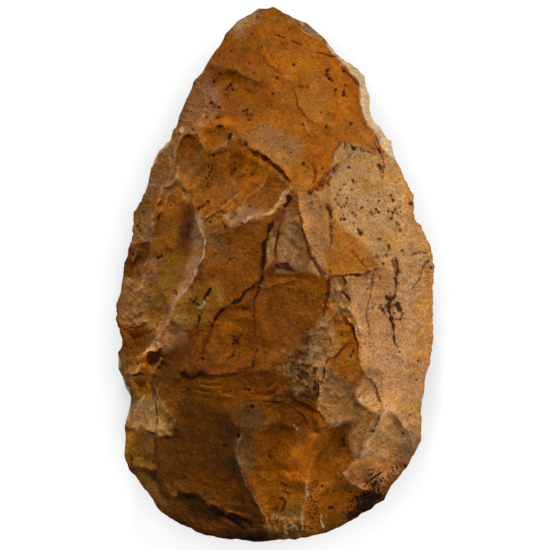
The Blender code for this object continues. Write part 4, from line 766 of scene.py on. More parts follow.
# Where specks lie thickly: 0 black specks, 1 pale flecks, 2 fine black dust. Then x, y, heading, half
# length, half width, amount.
SPECKLES = (
    (0, 24, 22, 80, 12, 7, 0.5), (0, 34, -15, 95, 20, 12, 0.45), (0, 34, -42, 80, 8, 5, 0.45),
    (0, 38, 18, 100, 10, 5, 0.4), (0, -21, 34, 90, 5, 2.5, 0.7), (0, 13, 28, 60, 6, 4, 0.5),
    (0, 12, -70, 80, 11, 3, 0.8), (0, 7, -80, 0, 6, 3, 0.7), (0, 24, -75, 40, 5, 3, 0.7),
    (0, 27, -38, 70, 8, 4, 0.5), (0, -26, 50, 45, 6, 5, 0.5), (0, 38, -50, 45, 8, 5, 0.4),
    (1, 14, -23, 80, 9, 4.5, 0.6), (1, 20, -8, 95, 8, 4, 0.6), (1, 3, -80, 0, 8, 4, 0.7),
    (1, 9, -30, -30, 10, 6, 0.5), (1, 6, 9, 80, 7, 5, 0.6), (2, 29.5, -71, 20, 6, 3.2, 1.05),
    (2, 28, -75.5, 34, 8, 3.2, 0.9), (2, 31.5, -65.5, 70, 5.5, 4, 0.72), (2, 23, -74.5, 50, 5, 2.6, 0.55),
    (2, 38, -62.5, 45, 5, 1.8, 0.55), (2, 12, -70, 80, 8, 2.4, 0.55), (2, 12, -79, 80, 5, 2.8, 0.58),
    (2, 6.5, -80, 0, 5, 2.4, 0.52), (2, -20.5, 31.5, 80, 5, 1.8, 0.62), (2, 37.5, -9, 90, 5, 2.2, 0.42),
    (2, 30, -23, -35, 5, 2, 0.4), (2, 33, -14, 90, 4, 2, 0.36), (2, 36, -24, -50, 5, 1.6, 0.38),
    (2, 34, -35, 90, 5, 2, 0.36), (2, 20, -38, 0, 5, 3, 0.36), (2, 40, -52, 40, 5, 3, 0.34),
    (2, -31.5, -6, 60, 1.6, 1.2, 0.7), (2, -36.5, 18.5, 70, 2, 0.8, 0.7),
)
BARE_STONE = (0.18, 0.03, 0.0)  # how thickly specks, flecks and dust lie where no row says more
BARE_UNDERSIDE = (0.18, 0.0, 0.0)
UNDERSIDE_ROUGHNESS = 0.6


def hashed(a, b, seed):
    """A fixed number from 0 to 1 for each pair of whole numbers."""
    n = np.asarray(a, np.int64) * 374761393 + np.asarray(b, np.int64) * 668265263
    n = (n + seed * 974711) & 0xFFFFFFFF
    n = ((n ^ (n >> 13)) * 1274126177) & 0xFFFFFFFF
    return ((n ^ (n >> 16)) & 0xFFFF) / 65535.0


def uneven(x, y, spacing, seed):
    """Smooth gradient noise, about -1 to 1."""
    x, y = x / spacing, y / spacing
    column, row = np.floor(x), np.floor(y)
    u, v = x - column, y - row

    def corner(right, up):
        angle = 2 * np.pi * hashed(column + right, row + up, seed)
        return np.cos(angle) * (u - right) + np.sin(angle) * (v - up)

    ease_u, ease_v = (t * t * t * (t * (t * 6 - 15) + 10) for t in (u, v))
    low = corner(0, 0) + ease_u * (corner(1, 0) - corner(0, 0))
    high = corner(0, 1) + ease_u * (corner(1, 1) - corner(0, 1))
    return 1.5 * (low + ease_v * (high - low))


def eased(t):
    """Rises smoothly from 0 to 1."""
    t = np.clip(t, 0, 1)
    return t * t * (3 - 2 * t)


def linear(colour):
    """A named patina or an sRGB hex as linear red, green and blue."""
    text = PATINA.get(colour, colour)
    values = np.array([int(text[i:i + 2], 16) / 255 for i in (0, 2, 4)])
    return np.where(values <= 0.04045, values / 12.92, ((values + 0.055) / 1.055) ** 2.4)


def rgba(colour):
    """The same with an opacity, for a node."""
    return (*linear(colour), 1.0)


def outline():
    """The edge seen from above: shallow concave bites between the cusps."""
    points = []
    for i, (x, y, bite) in enumerate(CUSPS):
        start, end = np.array((x, y)), np.array(CUSPS[(i + 1) % len(CUSPS)][:2])
        chord = np.hypot(*(end - start))
        inward = (end - start)[::-1] * (1, -1) / chord
        for t in np.linspace(0, 1, max(2, round(2 * chord)), endpoint=False):
            points.append(start + t * (end - start) + inward * bite * 4 * t * (1 - t))
    points = np.array(points)
    low, high = points.min(axis=0), points.max(axis=0)
    return (points - (low + high) / 2) * (TABLE_WIDTH, TABLE_LENGTH) / (high - low)


class Edge:
    """The outline as a radius for each direction from the middle, true and smoothed."""

    def __init__(self, samples=1440, softening=61):
        points = outline()
        self.direction = np.linspace(-np.pi, np.pi, samples, endpoint=False)
        self.true = np.interp(
            self.direction,
            *zip(*sorted(zip(np.arctan2(points[:, 1], points[:, 0]), np.hypot(*points.T)))),
            period=2 * np.pi,
        )
        window = np.hanning(softening) / np.hanning(softening).sum()
        wrapped = np.concatenate([self.true[-(softening // 2):], self.true, self.true[:softening // 2]])
        self.soft = np.convolve(wrapped, window, "valid")

    def radius(self, angle, share):
        """Bites in the edge die out inwards, so that they leave no spokes across the faces."""
        true = np.interp(angle, self.direction, self.true, period=2 * np.pi)
        soft = np.interp(angle, self.direction, self.soft, period=2 * np.pi)
        ring = NICK_RING * np.cos(angle), NICK_RING * np.sin(angle)
        nicks = sum(depth * uneven(*ring, spacing, seed) for seed, (spacing, depth) in enumerate(NICKS, 41))
        return soft + (true - soft) * share**6 + nicks * share**12


def in_frame(x, y, at_x, at_y, heading, half_length, half_width):
    """Places measured along and across an oval, in its half sizes."""
    c, s = math.cos(math.radians(heading)), math.sin(math.radians(heading))
    along = ((x - at_x) * c + (y - at_y) * s) / half_length
    across = ((y - at_y) * c - (x - at_x) * s) / half_width
    return along, across


def flaked(x, y, scars, seed):
    """The deepest scar's depth with its ripples, the scars' colours, and how near a point is to a crest."""
    deepest, second = np.zeros_like(x), np.zeros_like(x)
    weight, colour = np.full_like(x, 1e-9), 1e-9 * linear("tawny") + np.zeros((len(x), 3))
    away = np.full_like(x, 1.0)
    for number, (at_x, at_y, heading, half_length, half_width, cupping, patina) in enumerate(scars):
        along, across = in_frame(x, y, at_x, at_y, heading, half_length, half_width)
        depth = (SHALLOWEST + CUPPED * half_width * cupping) * (1 - along**2 - across**2)
        here = np.exp(np.clip(depth, -2, 9) / COLOUR_BLEND)
        weight += here
        colour += here[:, None] * linear(patina)
        # ripples spread from where the flake was struck, at the end nearer the edge of the stone
        turn = math.radians(heading)
        outward = math.copysign(1, math.cos(turn) * at_x + math.sin(turn) * at_y)
        top = depth > deepest
        struck = np.hypot(half_length * (STRUCK_AT - outward * along), half_width * across)
        away[top] = struck[top] + 7.3 * number
        second = np.where(top, deepest, np.maximum(second, depth))
        deepest = np.maximum(deepest, depth)
    ripple = np.sin(2 * np.pi * (away / RIPPLE_SPACING + 0.5 * uneven(x, y, 7, seed)))
    ripple *= eased(uneven(x, y, 8, seed + 1) * 1.5 + 0.5)
    fine = eased(deepest / 0.9) * (RIPPLE * ripple)
    wear_and_highlight = np.exp(-(deepest - second) / WEAR_AND_HIGHLIGHT_REACH)
    return CUP * deepest, fine, colour / weight[:, None], wear_and_highlight


def smooth_run(points, between=SMOOTHING):
    """A smooth curve through the points."""
    p = np.array(points, float)
    if len(p) < 3:
        return p
    p = np.vstack([2 * p[0] - p[1], p, 2 * p[-1] - p[-2]])
    run = []
    for a, b, c, d in zip(p, p[1:], p[2:], p[3:]):
        for t in np.arange(between) / between:
            run.append(b + 0.5 * t * (c - a + t * (2 * a - 5 * b + 4 * c - d + t * (3 * (b - c) + d - a))))
    return np.array(run + [p[-2]])


def beside(points, x, y, reach):
    """The points near a curve: which they are, how far off, positive on the left, and how far along."""
    run = smooth_run(points)
    low, high = run.min(axis=0) - reach, run.max(axis=0) + reach
    near = np.flatnonzero((x > low[0]) & (x < high[0]) & (y > low[1]) & (y < high[1]))
    x, y = x[near], y[near]
    nearest, signed, place = np.full(x.shape, np.inf), np.zeros_like(x), np.zeros_like(x)
    lengths = np.hypot(*np.diff(run, axis=0).T)
    done = 0.0
    for start, end, length in zip(run, run[1:], lengths):
        ux, uy = (end - start) / length
        rx, ry = x - start[0], y - start[1]
        t = np.clip(rx * ux + ry * uy, 0, length)
        distance = np.hypot(rx - t * ux, ry - t * uy)
        closer = distance < nearest
        nearest[closer] = distance[closer]
        signed[closer] = (distance * np.where(ux * ry < uy * rx, -1, 1))[closer]
        place[closer] = (done + t[closer]) / lengths.sum()
        done += length
    return near, signed, place


def inside(points, x, y, reach):
    """The points in or near a closed smooth border: which they are and how far inside it each is."""
    p = np.array(points, float)
    run = smooth_run(np.vstack([p[-2:], p, p[:2]]))
    run = run[(2 * SMOOTHING):(len(p) + 2) * SMOOTHING + 1]
    low, high = run.min(axis=0) - reach, run.max(axis=0) + reach
    near = np.flatnonzero((x > low[0]) & (x < high[0]) & (y > low[1]) & (y < high[1]))
    x, y = x[near], y[near]
    nearest, within = np.full(x.shape, np.inf), np.zeros(x.shape, bool)
    for (ax, ay), (bx, by) in zip(run, run[1:]):
        ux, uy = bx - ax, by - ay
        t = np.clip(((x - ax) * ux + (y - ay) * uy) / (ux * ux + uy * uy), 0, 1)
        nearest = np.minimum(nearest, np.hypot(x - ax - t * ux, y - ay - t * uy))
        if uy:
            within ^= ((ay > y) != (by > y)) & (x < ux * (y - ay) / uy + ax)
    return near, np.where(within, nearest, -nearest)


def ends(place):
    """Fades a line out at both ends."""
    return eased(place * 6 + 0.15) * eased((1 - place) * 6 + 0.15)


def chipped(x, y, spacing, seed):
    """Small overlapping scars struck at random: the deepest one's depth and its own shade, both 0 to 1."""
    column, row = np.floor(x / spacing), np.floor(y / spacing)
    deepest, shade = np.zeros_like(x), np.zeros_like(x)
    for right in (-1, 0, 1):
        for up in (-1, 0, 1):
            i, j = column + right, row + up
            rx = x / spacing - i - 0.1 - 0.8 * hashed(i, j, seed)
            ry = y / spacing - j - 0.1 - 0.8 * hashed(i, j, seed + 1)
            turn = np.pi * hashed(i, j, seed + 2)
            along, across = rx * np.cos(turn) + ry * np.sin(turn), ry * np.cos(turn) - rx * np.sin(turn)
            depth = 0.55 + 0.45 * hashed(i, j, seed + 3) - 0.35 * along**2 - 0.8 * across**2
            shade = np.where(depth > deepest, hashed(i, j, seed + 4), shade)
            deepest = np.maximum(deepest, depth)
    return deepest, shade


def crests_and_steps(x, y):
    """How high they stand."""
    crest, step = np.zeros_like(x), np.zeros_like(x)
    for kind, height, reach, points in CRESTS:
        near, signed, place = beside(points, x, y, 4 * reach)
        away = np.sqrt(signed**2 + CREST_ROUNDING**2) - CREST_ROUNDING
        height = height * (1 + 0.45 * uneven(x[near], y[near], 3.5, 61))
        if kind in ("crest", "ridge"):
            crest[near] += (height * np.exp(-away / reach) * ends(place)) ** 2
        elif kind in ("step", "lip"):
            step[near] += height * np.exp(-away / reach) * eased(signed / 0.9 + 0.5) * ends(place)
        else:
            step[near] -= height * np.exp(-(signed / reach) ** 2) * ends(place)
    return np.sqrt(crest) + step


def ripples(x, y):
    """The height of the rings that spread over the rippled scar."""
    height = np.zeros_like(x)
    for at_x, at_y, heading, spread, start, end, spacing, size in RIPPLES:
        away = np.hypot(x - at_x, y - at_y)
        off = (np.degrees(np.arctan2(y - at_y, x - at_x)) - heading + 180) % 360 - 180
        here = eased((1 - np.abs(off) / spread) * 3) * eased((away - start) / 4) * eased((end - away) / 4)
        here *= eased(0.5 + 1.1 * uneven(x, y, 3 + spacing, 8))
        height += size * here * np.sin(2 * np.pi * (away / spacing + 0.6 * uneven(x, y, 7, 5)))
    return height


def crown(x, y, share, height):
    """A face before it is flaked: highest along the middle, and down to nothing at the edge."""
    bluntness = np.interp(y, *zip(*BLUNTNESS))
    return height * np.interp(y, CROWN_AT_Y, CROWN_SHARE) * (1 - share**1.9) ** bluntness


def worked(height, depth, fine):
    """Scars never cut the crown down to nothing near the edge, and the finer relief fades out there."""
    room = 0.7 * np.maximum(height, 1e-6)
    height = height + room * np.expm1(-depth / room)
    return height + fine * eased(height / 2.5)


def wandered(x, y, wander):
    """Places moved aside a little, so that no border runs quite true."""
    wx, wy = x.copy(), y.copy()
    for seed, (spacing, width) in enumerate(wander):
        wx += width * uneven(x, y, spacing, 11 + seed)
        wy += width * uneven(x, y, spacing, 13 + seed)
    return wx, wy


def roughness_at(x, y):
    """The tip and the big scars under it are smooth, and the margins and the butt are broken up small."""
    rough = np.full_like(x, 1.0)
    for *oval, smoother in SMOOTH:
        along, across = in_frame(x, y, *oval)
        rough *= 1 - smoother * np.exp(-(along**2 + across**2) ** 2)
    return rough


def upper_face(x, y, share):
    """Height over the edge, the patina's colour with painted light and shade in places, how worn and
    painted-highlit the crests are, how broken up the surface is.
    """
    wx, wy = wandered(x, y, WANDER[:1])
    depth, fine, colour, wear_and_highlight = flaked(wx, wy, UPPER_SCARS, 51)
    rough = roughness_at(x, y)
    for seed, (spacing, height) in enumerate(CHIPS):
        deep, shade = chipped(wx, wy, spacing, 71 + 5 * seed)
        fine -= rough * height * deep
        # painted light and shade: some small scars are coloured a little lighter and others darker, as if
        # each caught the light its own way
        colour *= 1 + 0.16 * rough[:, None] * (shade[:, None] - 0.5)
    rippled = ripples(wx, wy)
    fine += rippled
    wx, wy = wandered(x, y, WANDER)
    fine += crests_and_steps(wx, wy)
    for *oval, height in SWELLINGS:
        along, across = in_frame(x, y, *oval)
        fine += height * np.exp(-along**2 - across**2)
    for seed, (spacing, height) in enumerate(UNEVENNESS, 1):
        fine += height * uneven(x, y, spacing, seed)
    wear_and_highlight *= 0.5
    # painted light and shade: the ripples' crests are coloured lighter and their troughs darker
    tint = np.exp(0.9 * rippled)[:, None]
    for patina, softness, hollow, points in AREAS:
        near, within = inside(points, wx, wy, max(softness, 1.5))
        covered = 0.9 * eased(0.5 + 0.5 * within / softness)
        colour[near] += covered[:, None] * (linear(patina) - colour[near])
        fine[near] -= HOLLOW * hollow * (1 - np.exp(-np.maximum(within, 0) / HOLLOW_WALL))
        # the rims of hollow areas are rubbed pale, partly wear and partly a painted highlight
        rim = min(1, hollow) * np.exp(-np.abs(within) / 0.45)
        wear_and_highlight[near] = np.maximum(wear_and_highlight[near] * (1 - covered), rim)
    colour *= tint
    # the stain painted thinner and thicker, and in part painted light and shade on relief that isn't
    # modelled
    for *oval, factor in STAIN_AND_PAINTED_LIGHT:
        along, across = in_frame(wx, wy, *oval)
        colour *= factor ** np.exp(-along**2 - across**2)[:, None]
    return worked(crown(x, y, share, UPPER_CROWN), depth, fine), colour, wear_and_highlight, rough


def upper_marks(x, y):
    """For each stain, how far aside the nearest line runs and its half width, and the way to the nearest
    spot and its radius. Each goes down further off, so that nothing shows between two marks."""
    wx, wy = wandered(x, y, WANDER)
    lines = {stain: np.tile((FIELD, -FIELD, 0.0), (len(x), 1)) for stain in STAINS}
    spots = {stain: np.tile((FIELD, FIELD, 0.0), (len(x), 1)) for stain in STAINS}
    crests = [("rubbed_and_highlit", 0.1 + 0.12 * height, points)
              for kind, height, _, points in CRESTS if kind in ("crest", "lip")]
    for stain, half_width, points in (*LINES, *crests):
        near, signed, place = beside(points, wx, wy, FIELD + half_width)
        width = half_width * (0.25 + 0.75 * ends(place))
        width = width * (0.95 + 0.9 * uneven(wx[near], wy[near], 2.3, 17))
        away = np.abs(signed)
        width -= 2 * np.maximum(away - width - 0.5, 0) + np.where((place <= 0) | (place >= 1), away, 0)
        held = lines[stain][near]
        closer = width - away > held[:, 1] - np.abs(held[:, 0])
        lines[stain][near[closer], :2] = np.column_stack([signed, width])[closer]
    for stain, places in SPOTS:
        for at_x, at_y, radius in places:
            near = np.flatnonzero((np.abs(x - at_x) < FIELD) & (np.abs(y - at_y) < FIELD))
            away = np.hypot(x[near] - at_x, y[near] - at_y)
            size = SPOT_SIZE * radius - np.maximum(away - radius - 0.4, 0)
            held = spots[stain][near]
            closer = size - away > held[:, 2] - np.hypot(held[:, 0], held[:, 1])
            spots[stain][near[closer]] = np.column_stack([x[near] - at_x, y[near] - at_y, size])[closer]
    return lines, spots


def upper_speckles(x, y):
    """How thickly black specks, pale flecks and fine black dust lie, from 0 to 1."""
    thick = np.tile(BARE_STONE, (len(x), 1))
    for kind, *oval, amount in SPECKLES:
        along, across = in_frame(x, y, *oval)
        here = amount * np.exp(-(along**2 + across**2) ** 2)
        thick[:, kind] = np.maximum(thick[:, kind], here)
    return thick


def lower_scars(edge):
    """The underside's rings of scars, each a little off its even place and size."""
    scars = []
    for ring, (number, distance, half_length, half_width, cupping) in enumerate(LOWER_RINGS):
        for i in range(number):
            a, b, c = (hashed(i, ring, seed) - 0.5 for seed in (21, 22, 23))
            angle = (i + 0.5 * a) * 2 * np.pi / number
            away = (distance + 0.12 * b) * edge.radius(angle, 0)
            heading = math.degrees(angle) + 50 * c
            size = 1 + 0.5 * a
            colour = LOWER_COLOURS[(3 * i + ring) % len(LOWER_COLOURS)]
            scars.append((away * math.cos(angle), away * math.sin(angle), heading,
                          half_length * size, half_width * size, cupping * (1 + b), colour))
    return scars


def lower_face(x, y, share, edge):
    """Depth below the edge, the patina's colour, and how worn and painted-highlit the crests are."""
    depth, fine, colour, wear_and_highlight = flaked(x, y, lower_scars(edge), 61)
    for seed, (spacing, height) in enumerate(UNEVENNESS, 31):
        fine += height * uneven(x, y, spacing, seed)
    return worked(crown(x, y, share, LOWER_CROWN), depth, fine), colour, wear_and_highlight * eased(depth)


def edge_height(angle, share):
    """The edge isn't level: it wanders gently as flakes were struck from one face and then the other."""
    wave = sum(size * np.sin(number * angle + start) for number, size, start in EDGE_WAVES)
    return EDGE_HEIGHT + EDGE_WAVE * wave * share**3


# ---------------------------------------------------------------- the stone as a mesh
def select_only(*objects):
    bpy.ops.object.select_all(action="DESELECT")
    for obj in objects:
        obj.select_set(True)
    bpy.context.view_layer.objects.active = objects[0]


def write_values(mesh, name, values):
    """Gives every vertex three values that the material reads by this name."""
    attribute = mesh.attributes.new(name, "FLOAT_VECTOR", "POINT")
    attribute.data.foreach_set("vector", np.asarray(values, np.float32).ravel())


def face_sheet(name, edge, across, along, upward):
    """A sheet of small squares, rounded to a disc, stretched to the outline and given its height."""
    bpy.ops.object.select_all(action="DESELECT")
    bpy.ops.mesh.primitive_grid_add(x_subdivisions=across, y_subdivisions=along, size=2)
    sheet = bpy.context.object
    sheet.name = name
    if not upward:
        bpy.ops.object.mode_set(mode="EDIT")
        bpy.ops.mesh.flip_normals()
        bpy.ops.mesh.select_mode(type="EDGE")
        bpy.ops.mesh.select_all(action="DESELECT")
        bpy.ops.mesh.select_non_manifold()
        bpy.ops.mesh.subdivide(number_cuts=1)
        bpy.ops.object.mode_set(mode="OBJECT")
    mesh = sheet.data
    square = np.empty(3 * len(mesh.vertices))
    mesh.vertices.foreach_get("co", square)
    square_x, square_y = square.reshape(-1, 3)[:, :2].T
    disc_x, disc_y = square_x * np.sqrt(1 - square_y**2 / 2), square_y * np.sqrt(1 - square_x**2 / 2)
    share, angle = np.clip(np.hypot(disc_x, disc_y), 0, 1), np.arctan2(disc_y, disc_x)
    rim = np.maximum(np.abs(square_x), np.abs(square_y)) > 1 - 1e-5
    share[rim] = 1
    radius = share * edge.radius(angle, share)
    x, y = radius * np.cos(angle), radius * np.sin(angle)
    if upward:
        height, patina, wear_and_highlight, rough = upper_face(x, y, share)
        lines, spots = upper_marks(x, y)
        speckles = upper_speckles(x, y)
    else:
        height, patina, wear_and_highlight = lower_face(x, y, share, edge)
        height, rough = -height, np.full_like(x, UNDERSIDE_ROUGHNESS)
        far = np.tile((FIELD, -FIELD, -FIELD), (len(x), 1))
        lines = spots = {stain: far for stain in STAINS}
        speckles = np.tile(BARE_UNDERSIDE, (len(x), 1))
    z = np.maximum(edge_height(angle, share) + np.where(rim, 0, height), 0)
    places = MIDDLE + UNIT * np.column_stack([x, y, z])
    mesh.vertices.foreach_set("co", places.ravel())
    write_values(mesh, "patina", patina)
    for stain in STAINS:
        write_values(mesh, stain + "_line", lines[stain])
        write_values(mesh, stain + "_spot", spots[stain])
    write_values(mesh, "speckles", speckles)
    write_values(mesh, "wear_and_highlight", np.column_stack([wear_and_highlight, 0.6 * rough, np.zeros_like(x)]))
    mesh.update()
    return sheet


def hand_axe():
    """The two faces, joined along the edge. The underside is coarser, and its rim is divided to match."""
    edge = Edge()
    stone = face_sheet("flint_hand_axe", edge, *UPPER_SQUARES, True)
    underside = face_sheet("underside", edge, *LOWER_SQUARES, False)
    select_only(stone, underside)
    bpy.ops.object.join()
    bpy.ops.object.mode_set(mode="EDIT")
    bpy.ops.mesh.select_all(action="SELECT")
    bpy.ops.mesh.remove_doubles(threshold=1e-6)
    bpy.ops.mesh.normals_make_consistent(inside=False)
    bpy.ops.object.mode_set(mode="OBJECT")
    bpy.ops.object.shade_smooth_by_angle(angle=math.radians(50))
    return stone


# ---------------------------------------------------------------- materials
def add(tree, kind, inputs=(), output=0, **settings):
    """Adds a node with its settings, fills its inputs in order or by name, and gives one of its outputs."""
    made = tree.nodes.new("ShaderNode" + kind)
    for name, value in settings.items():
        setattr(made, name, value)
    for name, value in inputs.items() if isinstance(inputs, dict) else enumerate(inputs):
        if isinstance(value, bpy.types.NodeSocket):
            tree.links.new(value, made.inputs[name])
        else:
            made.inputs[name].default_value = value
    return made.outputs[output]


def new_material(name):
    material = bpy.data.materials.new(name)
    material.use_nodes = True
    return material, material.node_tree, material.node_tree.nodes["Principled BSDF"]


FACTOR, COLOUR_A, COLOUR_B, COLOUR_OUT = 0, 6, 7, 2  # sockets of a Mix node that mixes colours

# Clouds of stronger and weaker stain, down to the size of a grain: size, detail, roughness, distortion.
CLOUDS = {
    "broad": (11, 3, 0.55, 0),
    "yellow": (5, 5, 0.62, 0),
    "middling": (3, 4, 0.6, 0),
    "fine": (1, 4, 0.65, 0),
    "grain": (0.4, 2, 0.55, 0),
    "pores": (0.9, 3, 0.7, 0.6),
    "cracks": (9, 6, 0.55, 0.8),
    "cracked": (14, 3, 0.55, 0),
    "film": (6, 6, 0.7, 0),
    "ragged": (0.8, 4, 0.75, 0),
    "dotted": (0.55, 3, 0.7, 0),
    "specked": (5, 2, 0.55, 0),
}
# Washes over the whole stone: clouds, where in them the wash starts and ends, tints at its start and end.
WASHES = (
    ("broad", 0.3, 0.7, (0.92, 0.88, 0.78), (1.2, 1.24, 1.18)),
    ("yellow", 0.32, 0.68, (1.13, 0.98, 0.59), (0.91, 1.01, 1.5)),
    ("middling", 0.32, 0.68, (0.80, 0.76, 0.70), (1.18, 1.2, 1.15)),
    ("fine", 0.34, 0.66, (0.76, 0.73, 0.71), (1.18, 1.2, 1.25)),
    ("grain", 0.32, 0.68, (0.74, 0.71, 0.69), (1.2, 1.22, 1.26)),
)
CHIP_WIDTH, FLAKE_WIDTH = 3.4, 1.5  # tiny scars where the surface is broken up
FIBRE_WIDTH = 1.15
SPECK_SPACING, DUST_SPACING = 1.7, 0.95


def ochre_patinated_flint():
    """Flint is a glassy stone that breaks smooth. Its old surfaces have a satin skin stained by iron."""
    material, tree, shader = new_material("ochre_patinated_flint")
    node = partial(add, tree)
    place = node("TexCoord", output="Object")
    clouds = {
        name: node("TexNoise", {"Vector": place, "Scale": 1 / (size * UNIT), "Detail": detail,
                                "Roughness": roughness, "Distortion": distortion})
        for name, (size, detail, roughness, distortion) in CLOUDS.items()
    }

    def channels(name):
        """The three values that the mesh holds by this name."""
        held = node("Attribute", output="Vector", attribute_name=name)
        return node("SeparateXYZ", (held,)).node.outputs

    def tinted(colour, factor, low, high):
        """Washes the stone with one tint where the factor is low and another where it is high."""
        tint = node("Mix", {FACTOR: factor, COLOUR_A: (*low, 1), COLOUR_B: (*high, 1)}, COLOUR_OUT,
                    data_type="RGBA")
        return node("Mix", {FACTOR: 1.0, COLOUR_A: colour, COLOUR_B: tint}, COLOUR_OUT,
                    data_type="RGBA", blend_type="MULTIPLY")

    def coated(colour, here, share, coat):
        """Lays another colour over the stone's where it is, and lets some of the stone show through."""
        amount = node("Math", (here, share), operation="MULTIPLY")
        return node("Mix", {FACTOR: amount, COLOUR_A: colour, COLOUR_B: coat}, COLOUR_OUT,
                    data_type="RGBA")

    def facets(size):
        """Tiny scars, cupped between crisp crests: how far from the middle of each, and its own shade."""
        width = size * UNIT
        sway = node("TexNoise", {"Vector": place, "Scale": 1 / width, "Detail": 2.0}, "Color")
        swayed = node("VectorMath", (sway, (width,) * 3, place), operation="MULTIPLY_ADD")
        away = node("TexVoronoi", {"Vector": swayed, "Scale": 1 / width}, "Distance")
        own = node("SeparateColor", (away.node.outputs["Color"],))
        return node("Math", (away, away), operation="MULTIPLY"), own

    colour = node("Attribute", output="Color", attribute_name="patina")
    wear_and_highlight, broken_up, _ = channels("wear_and_highlight")
    for name, start, end, low, high in WASHES:
        colour = tinted(colour, node("MapRange", (clouds[name], start, end)), low, high)

    # where the surface is broken up, tiny scars catch the light each in its own way
    chip, chip_shade = facets(CHIP_WIDTH)
    flake, flake_shade = facets(FLAKE_WIDTH)
    half_chip = node("Math", (chip_shade, 0.5), operation="MULTIPLY")
    half_flake = node("Math", (flake_shade, 0.5), operation="MULTIPLY")
    shade = node("Math", (half_chip, half_flake), operation="ADD")
    off_middle = node("Math", (shade, 0.5), operation="SUBTRACT")
    lighter = node("Math", (off_middle, broken_up, 0.5), operation="MULTIPLY_ADD")
    colour = tinted(colour, lighter, (0.72, 0.68, 0.64), (1.28, 1.32, 1.4))

    # fine brown pores, and hair cracks where the clouds pass through their middle value
    pores = node("MapRange", (clouds["pores"], 0.39, 0.33))
    browned = node("Math", (pores, 0.8), operation="MULTIPLY")
    colour = tinted(colour, browned, (1, 1, 1), (0.42, 0.3, 0.25))
    off_middle = node("Math", (clouds["cracks"], 0.5), operation="SUBTRACT")
    off_middle = node("Math", (off_middle,), operation="ABSOLUTE")
    hair = node("MapRange", (off_middle, 0.012, 0.0))
    hair = node("Math", (hair, node("MapRange", (clouds["cracked"], 0.5, 0.62))), operation="MULTIPLY")
    browned = node("Math", (hair, 0.6), operation="MULTIPLY")
    colour = tinted(colour, browned, (1, 1, 1), (0.42, 0.28, 0.2))

    # a thin greyish film in ragged patches
    film = node("MapRange", (clouds["film"], 0.55, 0.7))
    film = node("Math", (film, node("MapRange", (clouds["fine"], 0.38, 0.55))), operation="MULTIPLY")
    colour = coated(colour, film, 0.35, rgba("826545"))

    # what makes the borders of marks ragged, in millimetres
    ragged = node("MapRange", (clouds["ragged"], 0.2, 0.8, -0.2, 0.2))
    wavy = node("MapRange", (clouds["middling"], 0.3, 0.7, -0.06, 0.06))
    ragged = node("Math", (ragged, wavy), operation="ADD")

    def mark(stain):
        """How far inside the stain's marks a point is, in millimetres."""
        aside, width, _ = channels(stain + "_line")
        east, north, size = channels(stain + "_spot")
        square = node("Math", (north, north), operation="MULTIPLY")
        square = node("Math", (east, east, square), operation="MULTIPLY_ADD")
        away = node("Math", (square,), operation="SQRT")
        aside = node("Math", (aside,), operation="ABSOLUTE")
        in_line = node("Math", (width, aside), operation="SUBTRACT")
        in_spot = node("Math", (size, away), operation="SUBTRACT")
        return node("Math", (in_line, in_spot), operation="MAXIMUM")

    def reached(inside, softness, start=0.0, broken=1.0):
        """Whether the mark reaches here, with a ragged border."""
        inside = node("Math", (ragged, broken, inside), operation="MULTIPLY_ADD")
        return node("MapRange", (inside, start - softness, start + softness))

    # crests are rubbed paler, in a thin broken line, partly wear and partly a painted highlight
    wear_and_highlight_here = node("Math", (wear_and_highlight, 0.5), operation="MULTIPLY")
    wear_and_highlight_here = node("Math", (wear_and_highlight_here, ragged), operation="ADD")
    wear_and_highlight_here = node("MapRange", (wear_and_highlight_here, 0.35, 0.85))
    rubbed_and_highlit = node("Math", (wear_and_highlight_here, reached(mark("rubbed_and_highlit"), 0.2)), operation="MAXIMUM")
    broken = node("MapRange", (clouds["middling"], 0.3, 0.6, 0.25, 0.9))
    paler = tinted(colour, 0.0, (1.5, 1.65, 2.2), (1, 1, 1))
    colour = coated(colour, rubbed_and_highlit, broken, coated(paler, 0.35, 1.0, rgba("c89c6e")))

    # the cream of fresh chips, and painted highlights where cream lines run along crests and lips
    colour = coated(colour, reached(mark("cream"), 0.25, 0.05, 1.3), 0.7, rgba("d4b183"))

    # pale and brown flecks, drawn out along one way of the stone
    specks, flecks, dust = channels("speckles")
    combed = node("Mapping", {"Vector": place, "Rotation": (0, 0, 0.5), "Scale": (1.0, 3.6, 1.0)},
                  vector_type="TEXTURE")
    fibres = node("TexNoise", {"Vector": combed, "Scale": 1 / (FIBRE_WIDTH * UNIT), "Detail": 3.0})
    colour = coated(colour, flecks, node("MapRange", (fibres, 0.51, 0.63, 0.0, 0.8)), rgba("bd9a68"))
    colour = coated(colour, flecks, node("MapRange", (fibres, 0.46, 0.34, 0.0, 0.8)), rgba("5a3416"))

    # iron red, also as a thin halo round the manganese
    black = mark("black")
    dotted = node("MapRange", (clouds["dotted"], 0.36, 0.6, -0.5, 0.5))
    halo = node("Math", (reached(black, 0.2, -0.25, 1.2), 0.5), operation="MULTIPLY")
    red = node("Math", (dotted, 0.7, mark("red")), operation="MULTIPLY_ADD")
    red = node("Math", (reached(red, 0.22, 0.0, 1.6), 0.8), operation="MULTIPLY")
    colour = coated(colour, node("Math", (red, halo), operation="MAXIMUM"), 1.0, rgba("5e2407"))
